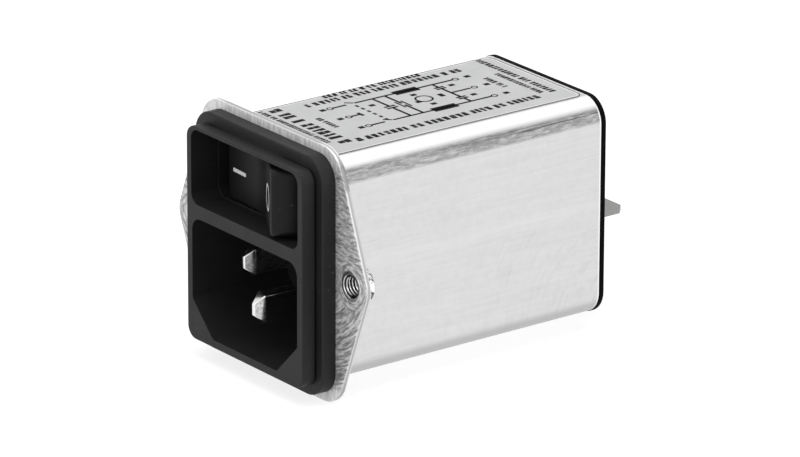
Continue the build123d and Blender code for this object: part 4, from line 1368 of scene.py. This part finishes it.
@dataclass
class RatingLabel:
    """Foil on the can's top, with plain print rows and a simple line filter diagram.

    Attributes:
        half_width: Half the foil's width.
        front: Where the foil starts.
        back: Where it ends.
        top: Level of the foil's face.
        ink: Thickness of the ink.
        sunk: How deep the ink reaches into the foil.
        line: Width of the diagram's lines.
        conductors: Places across of the diagram's line, earth and neutral conductors.
        rows: The rows of print.
    """

    half_width: float = 10.5
    front: float = 1.9
    back: float = 45.2
    top: float = 15.78
    ink: float = 0.012
    sunk: float = 0.02
    line: float = 0.42
    conductors: Triple = (-5.4, -1.1, 3.4)
    rows: list[PrintRow] = field(default_factory=lambda: [
        PrintRow(Run.ACROSS, 5.4, -10.0, 6.0, 0.75, 3),
        PrintRow(Run.ACROSS, 7.35, -9.7, 7.2, 1.9, 5),
        PrintRow(Run.ALONG, -9.85, 15.9, 32.6, 1.05, 7),
        PrintRow(Run.ALONG, -8.2, 11.8, 38.2, 1.3, 11),
        PrintRow(Run.ALONG, 7.2, 8.9, 40.4, 1.35, 13),
        PrintRow(Run.ACROSS, 10.1, -3.2, 1.3, 0.8, 17),
        PrintRow(Run.ACROSS, 38.9, -3.4, 1.3, 0.9, 19),
        PrintRow(Run.ACROSS, 41.3, -4.0, 6.4, 0.8, 23),
        PrintRow(Run.ACROSS, 42.9, -10.2, 6.8, 1.0, 29),
    ])

    def diagram(self) -> list[Stroke]:
        """Two conductors with a choke, capacitors across and to earth, and a dashed switch link.

        Returns:
            The diagram's bars.
        """
        upper, middle, lower = self.conductors
        line, plates = self.line, (middle - 0.35, middle + 0.35)
        small_marks = ((-3.2, 18.9), (-0.6, 24.9), (-3.4, 26.1), (1.2, 26.1), (-3.7, 32.9), (1.3, 32.9))
        end_marks = ((upper, 12.2), (middle, 12.0), (lower, 12.2),
                     (upper, 36.9), (middle, 37.0), (lower, 36.9))
        # Each bar along the can as its place across, its ends and its width
        along = [(middle, 31.3, 34.6, line), (middle, 29.2, 30.0, 1.2), (middle, 14.3, 15.6, line),
                 (middle, 15.6, 16.1, 1.4)]
        for level in (upper, lower):
            along += [(level, 14.3, 16.6, line), (level, 18.0, 34.9, line), (level, 24.7, 28.8, 1.55)]
        along += [(level, 20.1, 21.9, line) for level in plates]
        along += [(level, 30.5, 32.1, line) for level in (-3.9, -3.3, 1.1, 1.7)]
        along += [(level, start, start + 0.9, 0.8) for level, start in end_marks]
        along += [(level, start, start + 0.9, 0.75) for level, start in small_marks]
        # Each bar across the can as its place along, its ends and its width
        leads = ((upper, plates[0]), (plates[1], lower))
        across = [(place, *ends, line) for place in (21.0, 23.1) for ends in leads]
        across += [(place, middle - 1.3, middle + 1.3, line * 0.7) for place in (22.6, 23.6)]
        across += [(31.3, *ends, line) for ends in ((upper, -3.9), (-3.3, 1.1), (1.7, lower))]
        across += [(17.5, start, start + 0.75, line) for start in upper + 0.9 + 1.35 * np.arange(6)]
        switches = [Stroke((level - 0.9, 16.9), (level - 0.1, 17.9), line * 0.8) for level in (upper, lower)]
        return (switches + [Stroke.level(Run.ALONG, *bar) for bar in along]
                + [Stroke.level(Run.ACROSS, *bar) for bar in across])

    def bars(self, strokes: Sequence[Stroke]) -> Skin:
        """All bars at once, each a box from inside the foil to the ink's face.

        A bar's corners are its middle plus or minus half its length along its direction and half its
        width across it.

        Args:
            strokes: The bars.

        Returns:
            One skin with all of them.
        """
        start, end = (np.array([getattr(stroke, name) for stroke in strokes]) for name in ("start", "end"))
        width = np.array([stroke.width for stroke in strokes])[:, None]
        along = (end - start) / np.linalg.norm(end - start, axis=1, keepdims=True)
        side = np.stack([-along[:, 1], along[:, 0]], axis=1) * width / 2
        corners = np.stack([start - side, end - side, end + side, start + side], axis=1)
        levels = (self.top - self.sunk, self.top + self.ink)
        points = np.concatenate([np.concatenate([corners, np.full(corners.shape[:2] + (1,), level)], axis=2)
                                 for level in levels], axis=1)
        box = np.array([(0, 3, 2, 1), (4, 5, 6, 7), (0, 1, 5, 4), (1, 2, 6, 5), (2, 3, 7, 6), (3, 0, 4, 7)])
        faces = (box[None] + 8 * np.arange(len(strokes))[:, None, None]).reshape(-1, 4)
        return Skin(points.reshape(-1, 3), faces)

    def hoop(self, x: float, y: float, radius: float, width: float) -> Skin:
        """One printed ring: a square section carried round a circle."""
        corners = section(radius - width / 2, radius + width / 2, self.top - self.sunk, self.top + self.ink)
        return Skin.over([flat(circle(out, 40) + (x, y), level) for out, level in corners], looped=True)

    def border(self, inset: float, width: float) -> Skin:
        """A line that runs round the foil at a distance inside its edge.

        Args:
            inset: Distance of the line from the foil's edge.
            width: Width of the line.

        Returns:
            The line's skin.
        """
        half_length, middle = (self.back - self.front) / 2, (self.back + self.front) / 2
        corners = section(inset, inset + width, self.top - self.sunk, self.top + self.ink)
        rings = []
        for offset, level in corners:
            outline = rounded_box(self.half_width - offset, half_length - offset, max(1.2 - offset, 0.2), 10)
            rings.append(flat(outline + (0.0, middle), level))
        return Skin.over(rings, looped=True)

    def build(self) -> list[Piece]:
        """Dress the foil and print on it: the bars, six terminals, the choke's core and two border lines.

        Returns:
            The foil, the black print and the pale margin.
        """
        foil = dress(softened_copy("rating_label", "label_foil_sheet", bevel_mm=0.02), "label_foil")
        strokes = self.diagram()
        for row in self.rows:
            strokes += row.strokes()
        hoops = [self.hoop(level, place, 0.42, 0.22) for level in self.conductors for place in (13.85, 35.3)]
        hoops.append(self.hoop(-1.25, 26.75, 1.2, 0.3))
        black = Skin.joined([self.bars(strokes), *hoops, self.border(0.0, 0.12)]).piece("label_print", 30.0)
        pale = self.border(0.16, 0.3).piece("label_margin", 30.0)
        dress(black, "label_foil", finish=BLACK_INK)
        dress(pale, "label_foil", finish=PALE_INK)
        return [foil, black, pale]


@dataclass
class FrontHousing:
    """The black moulding: a stepped bezel with crisp edges, and the solid's own body behind the panel face.

    Attributes:
        face: Where the bezel's face lies.
        block: Half width and half height of the front block.
        block_round: Radius of the block's corners.
        block_depth: Depth of the block.
        groove_width: Width of the fine groove behind the block.
        groove_depth: Depth of that groove.
        base: Half width and half height of the wider base.
        base_round: Radius of the base's corners.
        body: Half width and half height of the body inside the can.
        body_round: Radius of the body's corners.
        seam: Where the bezel meets the body.
        block_edge: Round on the block's front edge.
        base_edge: Round on the base's front edge.
        mouth_edge: Round on the edges of the pocket and the inlet.
        pocket: Half width and half height of the switch pocket.
        pocket_z: Height of the pocket's middle.
        pocket_round: Radius of the pocket's corners.
        inlet_half: Half the inlet's width.
        inlet_top: Upper side of the inlet.
        inlet_low: Lower side of the inlet.
        chamfer: Legs of the chamfers at the inlet's lower corners.
        inlet_rounds: Radii of the inlet's upper corners and of its chamfers' ends.
    """

    face: float = -4.5
    block: Pair = (13.25, 15.35)
    block_round: float = 1.8
    block_depth: float = 2.0
    groove_width: float = 0.35
    groove_depth: float = 0.45
    base: Pair = (14.6, 16.95)
    base_round: float = 3.6
    body: Pair = (13.05, 15.05)
    body_round: float = 2.85
    seam: float = 0.02
    block_edge: float = 0.14
    base_edge: float = 0.22
    mouth_edge: float = 0.1
    pocket: Pair = (12.2, 5.35)
    pocket_z: float = 9.6
    pocket_round: float = 1.5
    inlet_half: float = 12.05
    inlet_top: float = 2.3
    inlet_low: float = -14.2
    chamfer: float = 4.7
    inlet_rounds: Pair = (1.9, 0.7)

    def skin(self) -> Skin:
        """The bezel without its openings.

        The section path runs over the block's front edge, back along the block, into the groove, out
        over the base's edge and back to the panel face, where it steps in to the body. At each station
        the ring is a rounded rectangle, moved in by an inset.

        Returns:
            The skin.
        """
        angles = directions(160, [(np.arctan2(self.base[1] - 2.35, self.base[0] - 2.0), 0.16, 48)])

        def ring(half: Pair, corner: float, inset: float = 0.0) -> np.ndarray:
            """Ring of a rounded rectangle, moved in by an inset."""
            return reach(rounded_box(half[0] - inset, half[1] - inset, max(corner - inset, 0.1)), angles)

        groove = self.face + self.block_depth
        base_front = groove + self.groove_width
        rings = [(self.face + rise, ring(self.block, self.block_round, inset))
                 for rise, inset in quarter_round(self.block_edge, 5)[::-1]]
        rings += [(groove, ring(self.block, self.block_round))]
        rings += [(level, ring(self.block, self.block_round, self.groove_depth))
                  for level in (groove, base_front)]
        rings += [(base_front + rise, ring(self.base, self.base_round, inset))
                  for rise, inset in quarter_round(self.base_edge, 5)[::-1]]
        rings += [(0.0, ring(self.base, self.base_round))]
        rings += [(level, ring(self.body, self.body_round)) for level in (0.0, self.seam)]
        return Skin.about_y(rings, angles, looped=False)

    def plugs(self) -> list[Piece]:
        """What the openings take away: the pocket and the inlet.

        Returns:
            One plug for each opening.
        """
        pocket = rounded_box(*self.pocket, self.pocket_round, 14) + (0.0, self.pocket_z)
        right = [(self.inlet_half, self.inlet_top), (self.inlet_half, self.inlet_low + self.chamfer),
                 (self.inlet_half - self.chamfer, self.inlet_low)]
        left = [(-x, z) for x, z in right[::-1]]
        upper, lower = self.inlet_rounds
        inlet = rounded_polygon(left[-1:] + right + left[:-1], [upper] * 2 + [lower] * 4, 12)
        ends = (self.face - 1.0, self.seam + 0.5)
        return [Skin.over([upright(outline, depth) for depth in ends]).piece(name)
                for name, outline in (("plug_pocket", pocket), ("plug_inlet", inlet))]

    def rear(self) -> Piece:
        """The solid's body behind the seam: everything in front of it is cut away and the cut is closed.

        Returns:
            The body's piece.
        """
        def cut(work: bmesh.types.BMesh) -> None:
            """Cut at the seam, fill the cut and turn all faces outwards.

            Args:
                work: The open mesh.
            """
            parts = work.verts[:] + work.edges[:] + work.faces[:]
            bmesh.ops.bisect_plane(
                work, geom=parts, plane_co=(0, self.seam * MM, 0), plane_no=(0, 1, 0), clear_inner=True
            )
            rim = [edge for edge in work.edges if edge.is_boundary]
            bmesh.ops.triangle_fill(work, use_beauty=True, use_dissolve=False, edges=rim, normal=(0, -1, 0))
            bmesh.ops.recalc_face_normals(work, faces=work.faces)

        made = softened_copy("front_housing", "housing_body", bevel_mm=0.06)
        rework(made.data, cut)
        shade(made.data, SOLID_SHARP)
        return made

    def build(self) -> list[Piece]:
        """Pierce the bezel, round its moulded edges and set it on the body.

        Returns:
            The bezel and the body.
        """
        bezel = pierced(self.skin().piece("bezel_moulding"), self.plugs())
        round_edges(bezel, self.mouth_edge)
        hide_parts("front_housing")
        return [dress(part, "housing_plastic") for part in (bezel, self.rear())]


@dataclass
class InletPin:
    """One flat inlet pin with a tapered tip.

    Attributes:
        node: The CAD node it stands for.
        x: Place across.
        z: Place up.
        tip: Where the tip starts.
        facet_shade_level: Level of the painted shade on the tip's facets.
        back: Where the flat pin ends behind the inlet's floor.
        half: Half the pin's thickness and half its height.
        tip_half: The same at the tip.
        tail_half: The same at the tail behind the floor.
        taper: Length of the tapered tip.
    """

    node: str
    x: float
    z: float
    tip: float
    facet_shade_level: float = 0.4
    back: float = 14.6
    half: Pair = (1.0, 2.0)
    tip_half: Pair = (0.25, 0.875)
    tail_half: Pair = (0.6, 1.2)
    taper: float = 1.45

    def build(self) -> Piece:
        """Loft rounded rectangles along the pin and close both ends.

        The half sizes grow in a straight line from the tip to the end of the taper, with a small round
        at both ends of it. A station is its depth, how far it is moved in, and its share of the growth.

        Returns:
            The pin's piece.
        """
        end = self.tip + self.taper
        stations = [(self.tip, 0.07, 0.0), (self.tip + 0.02, 0.02, 0.0), (self.tip + 0.08, 0.0, 0.04),
                    (end - 0.12, 0.0, 0.92), (end, 0.02, 0.985), (end + 0.16, 0.0, 1.0),
                    (self.back, 0.0, 1.0)]
        rings = []
        for depth, inset, share in stations:
            halves = [tip + (full - tip) * share - inset for tip, full in zip(self.tip_half, self.half)]
            rings.append(upright(rounded_box(*halves, 0.1 + 0.15 * share, 6), depth, self.x, self.z))
        for depth in (self.back + 0.01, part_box(self.node)[1].y / MM):
            rings.append(upright(rounded_box(*self.tail_half, 0.08, 6), depth, self.x, self.z))
        pin = Skin.over(rings).piece(self.node + "_bar", 30.0)
        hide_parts(self.node)
        finish = PinNickel(
            f"nickel_on_{self.node}", FINISHES["plated_pin"].colour, 0.16, depth_mm=0.0005, stain=0.1,
            tip=self.tip, middle_z=self.z, facet_shade_level=self.facet_shade_level,
        )
        return dress(pin, "plated_pin", finish=finish)


class SwitchMark(Enum):
    """The two marks on the rocker."""

    ON = "bar"
    OFF = "ring"


@dataclass
class RockerSwitch:
    """The rocker with its printed marks.

    Attributes:
        pivot_y: Depth of the rocker's pivot.
        rest: Angle of the rocker at rest, with its left end pressed.
        half_length: Half the rocker's length.
        face: Distance of the face's ends in front of the pivot.
        slope: Slope of each half of the face.
        insets: Distance of each mark's middle from its end of the rocker.
        mark_z: Height of both marks' middles.
        bar: Half length and half width of the bar.
        ring: Inner and outer radius of the ring.
        ink: Height of the ink.
        sunk: How deep the ink reaches into the face.
    """

    pivot_y: float = 2.5
    rest: float = radians(17.0)
    half_length: float = 8.78
    face: float = 5.2
    slope: float = radians(13.5)
    insets: dict[SwitchMark, float] = field(
        default_factory=lambda: {SwitchMark.ON: 2.86, SwitchMark.OFF: 4.05}
    )
    mark_z: float = 9.08
    bar: Pair = (1.6, 0.275)
    ring: Pair = (1.52, 1.92)
    ink: float = 0.02
    sunk: float = 0.03

    def on_face(self, mark: SwitchMark, points: np.ndarray) -> np.ndarray:
        """Move (along, up, out) places about a mark's middle onto the rocker's face.

        In the rocker's own axes a field starts at the end (half length, -face) and falls towards the
        valley at the slope. The rest angle turns these axes clockwise seen from above.

        Args:
            mark: The mark.
            points: Places about its middle.

        Returns:
            The places on the face.
        """
        side, inset = (-1.0 if mark is SwitchMark.ON else 1.0), self.insets[mark]
        middle = (side * (self.half_length - inset * cos(self.slope)), inset * sin(self.slope) - self.face)
        along = (cos(self.slope), -side * sin(self.slope))
        outward = (-side * sin(self.slope), -cos(self.slope))
        turn = np.array([(cos(self.rest), sin(self.rest)), (-sin(self.rest), cos(self.rest))])
        level = points[:, :1] * along + points[:, 2:] * outward + middle
        return np.column_stack([level @ turn.T + (0.0, self.pivot_y), points[:, 1] + self.mark_z])

    def mark(self, mark: SwitchMark) -> Piece:
        """Print one mark as a thin closed skin with a bevelled upper rim.

        The bar is a rounded slot outline raised into a plate, whose upper ring is drawn in towards its
        middle. The ring is a low rectangle carried round a circle.

        Args:
            mark: Which mark.

        Returns:
            The mark's piece.
        """
        if mark is SwitchMark.ON:
            outline, edge = rounded_box(*self.bar, 0.16, 8), 0.01
            drawn_in = outline * (1 - edge / np.linalg.norm(outline, axis=1, keepdims=True))
            path = [(outline, -self.sunk), (outline, self.ink - edge), (drawn_in, self.ink)]
            skin = Skin.over([flat(ring, level) for ring, level in path])
        else:
            inner, outer = self.ring
            path = [(inner, -self.sunk), (outer, -self.sunk), (outer, self.ink - 0.008),
                    (outer - 0.02, self.ink), (inner + 0.02, self.ink), (inner, self.ink - 0.008)]
            skin = Skin.over([flat(circle(radius, 72), level) for radius, level in path], looped=True)
        skin.points = self.on_face(mark, skin.points)
        return dress(skin.piece(f"rocker_mark_{mark.value}", 30.0), "rocker_plastic", Body.ROCKER, WHITE_INK)

    def build(self) -> list[Piece]:
        """Copy the rocker's solid and print both marks."""
        rocker = dress(softened_copy("rocker", "rocker_moulding"), "rocker_plastic", Body.ROCKER)
        return [rocker, *(self.mark(mark) for mark in SwitchMark)]


@dataclass
class RearEnd:
    """Cover and blade terminals behind the can.

    Attributes:
        blades: The CAD nodes of the three blades.
        rim: Where the solid cover's plate starts.
        shift: How far back the can's rim and the plate stand from there.
    """

    blades: tuple[str, ...] = ("line_terminal", "neutral_terminal", "earth_terminal")
    rim: float = 45.6
    shift: float = 0.3

    def build(self) -> list[Piece]:
        """Copy the cover and the blades with rounded stamped edges.

        Returns:
            The cover and the blades.
        """
        cover = softened_copy("rear_cover", "cover_moulding", bevel_mm=0.05)
        places = np.empty(len(cover.data.vertices) * 3, dtype=np.float32)
        cover.data.vertices.foreach_get("co", places)
        depths = places[1::3]
        depths[depths > (self.rim - 0.01) * MM] += self.shift * MM
        cover.data.vertices.foreach_set("co", places)
        blades = [softened_copy(node, node.replace("terminal", "blade"), 0.08) for node in self.blades]
        return [dress(cover, "cover_plastic"), *(dress(blade, "tinned_blade") for blade in blades)]


@dataclass
class Insides:
    """Everything sealed inside: switch works, board and filter parts, kept as their solids."""

    def build(self) -> list[Piece]:
        """Give each node that is still shown the finish of its slot."""
        entries = [(frame["nodes"][entry["node"]], entry["material_slot"])
                   for entry in frame["record"]["subparts"]]
        return [dress(node, slot, None) for node, slot in entries if not node.hide_render]


# Studio


@dataclass
class Studio:
    """Camera, lamps, world and floor.

    Attributes:
        azimuth: Camera's direction in degrees, from the front towards the right.
        elevation: Camera's height in degrees.
        roll: Camera's roll in degrees.
        focal_px: Focal length in pixels of the picture.
        origin_px: Where the origin falls in the picture.
        pixels_per_mm: Scale at the origin.
        picture: Width and height of the picture.
        sensor_mm: Width of the camera's sensor.
        world_light: Strength of the world's light on the object.
        paper: Level of the floor's own colour.
        paper_glow: Extra light of the floor towards the camera, which makes it white.
        lamps: Name, place, size and power in watts of each square soft lamp.
    """

    azimuth: float = 52.86
    elevation: float = 19.72
    roll: float = 0.21
    focal_px: float = 6500.0
    origin_px: Pair = (271.15, 249.68)
    pixels_per_mm: float = 7.42
    picture: tuple[int, int] = (800, 457)
    sensor_mm: float = 36.0
    world_light: float = 0.55
    paper: float = 0.42
    paper_glow: float = 0.78
    lamps: tuple[tuple[str, Triple, float, float], ...] = (
        ("overhead_softbox", (0.1, -0.05, 0.6), 0.45, 1.5),
        ("side_softbox", (0.55, 0.15, 0.18), 0.4, 0.4),
        ("front_softbox", (0.12, -0.6, 0.16), 0.4, 0.8),
    )

    def camera(self) -> None:
        """Place the camera so that the origin falls on its pixel at the stated scale.

        The distance is the focal length over the scale. The camera then moves sideways and up by the
        pixel offset of the origin from the picture's middle, times distance over focal length.
        """
        turn, rise, roll = radians(self.azimuth), radians(self.elevation), radians(self.roll)
        back = Vector((sin(turn) * cos(rise), -cos(turn) * cos(rise), sin(rise)))
        right = Vector((cos(turn), sin(turn), 0.0))
        up = back.cross(right)
        right, up = cos(roll) * right + sin(roll) * up, -sin(roll) * right + cos(roll) * up
        distance = self.focal_px / self.pixels_per_mm * MM
        shift_x = (self.origin_px[0] - self.picture[0] / 2) / self.focal_px * distance
        shift_y = -(self.origin_px[1] - self.picture[1] / 2) / self.focal_px * distance
        data = bpy.data.cameras.new("studio_camera")
        data.sensor_width = self.sensor_mm
        data.sensor_fit = "HORIZONTAL"
        data.lens = self.focal_px / self.picture[0] * self.sensor_mm
        data.clip_start, data.clip_end = 0.05, 20.0
        made = linked("studio_camera", data)
        place = back * distance - right * shift_x - up * shift_y
        made.matrix_world = Matrix.Translation(place) @ Matrix((right, up, back)).transposed().to_4x4()
        bpy.context.scene.camera = made

    def lamp(self, name: str, place: Triple, size: float, watts: float) -> None:
        """A square soft lamp that looks at the module's middle.

        Args:
            name: The lamp's name.
            place: Where it stands, in metres.
            size: Side of its square, in metres.
            watts: Its power.
        """
        data = bpy.data.lights.new(name, "AREA")
        data.shape, data.size, data.energy = "SQUARE", size, watts
        aim = Vector((0.0, 0.02, 0.0)) - Vector(place)
        turned = aim.to_track_quat("-Z", "Y").to_matrix().to_4x4()
        linked(name, data).matrix_world = Matrix.Translation(place) @ turned

    def world(self) -> None:
        """White for what the camera and the glossy surfaces see, plain grey light for the rest."""
        world = bpy.data.worlds.new("studio_world")
        bpy.context.scene.world = world
        world.use_nodes = True
        tree = world.node_tree
        tree.nodes.clear()
        light, white = tree.nodes.new("ShaderNodeBackground"), tree.nodes.new("ShaderNodeBackground")
        for shader, strength in ((light, self.world_light), (white, 1.0)):
            shader.inputs["Color"].default_value = grey(1.0)
            shader.inputs["Strength"].default_value = strength
        mix, out = tree.nodes.new("ShaderNodeMixShader"), tree.nodes.new("ShaderNodeOutputWorld")
        for number, feed in enumerate((self.seen_share(tree), light.outputs[0], white.outputs[0])):
            tree.links.new(feed, mix.inputs[number])
        tree.links.new(mix.outputs[0], out.inputs["Surface"])

    def seen_share(self, tree: bpy.types.NodeTree) -> Socket:
        """1 for camera, glossy and transmission rays, otherwise 0.

        Args:
            tree: The tree to build in.

        Returns:
            The share.
        """
        path = tree.nodes.new("ShaderNodeLightPath")
        seen = path.outputs["Is Camera Ray"]
        for name in ("Is Glossy Ray", "Is Transmission Ray"):
            larger = tree.nodes.new("ShaderNodeMath")
            larger.operation = "MAXIMUM"
            tree.links.new(seen, larger.inputs[0])
            tree.links.new(path.outputs[name], larger.inputs[1])
            seen = larger.outputs[0]
        return seen

    def floor(self) -> None:
        """A white floor under the lowest point, which keeps the module's shadow."""
        level = CAD_BOX[0].z
        data = bpy.data.meshes.new("studio_floor")
        data.from_pydata([(-3, -3, level), (3, -3, level), (3, 3, level), (-3, 3, level)], [], [(0, 1, 2, 3)])
        graph = Graph("studio_floor_white")
        glow = graph.times(self.seen_share(graph.tree), self.paper_glow)
        paper = graph.node("BsdfDiffuse", {"Color": grey(self.paper)})
        light = graph.node("Emission", {"Color": grey(1.0), "Strength": glow})
        both = graph.node("AddShader", {0: paper.outputs[0], 1: light.outputs[0]})
        graph.node("OutputMaterial", {"Surface": both.outputs[0]})
        data.materials.append(graph.material)
        linked("studio_floor", data)

    def build(self) -> None:
        """Set up the whole studio."""
        bpy.context.scene.view_settings.view_transform = "Standard"
        self.camera()
        self.world()
        self.floor()
        for lamp in self.lamps:
            self.lamp(*lamp)


def main() -> None:
    """Build the studio and every sub-assembly, and report each piece."""
    logging.basicConfig(level=logging.INFO, format="%(name)s: %(message)s")
    Studio().build()
    builders = (
        FilterCan(), ClinchNuts(), RatingLabel(), FrontHousing(),
        # Each pin's last number is the level of its painted facet shade
        InletPin("neutral_pin", -7.0, -3.95, 0.35, 0.25), InletPin("line_pin", 7.0, -3.95, 0.35),
        InletPin("earth_pin", 0.0, -7.95, -3.05, 0.5), RockerSwitch(), RearEnd(), Insides(),
    )
    for builder in builders:
        made = builder.build()
        for piece in made if isinstance(made, list) else [made]:
            LOG.info("%s: %s with %d faces", type(builder).__name__, piece.name, len(piece.data.polygons))


if __name__ == "__main__":
    main()
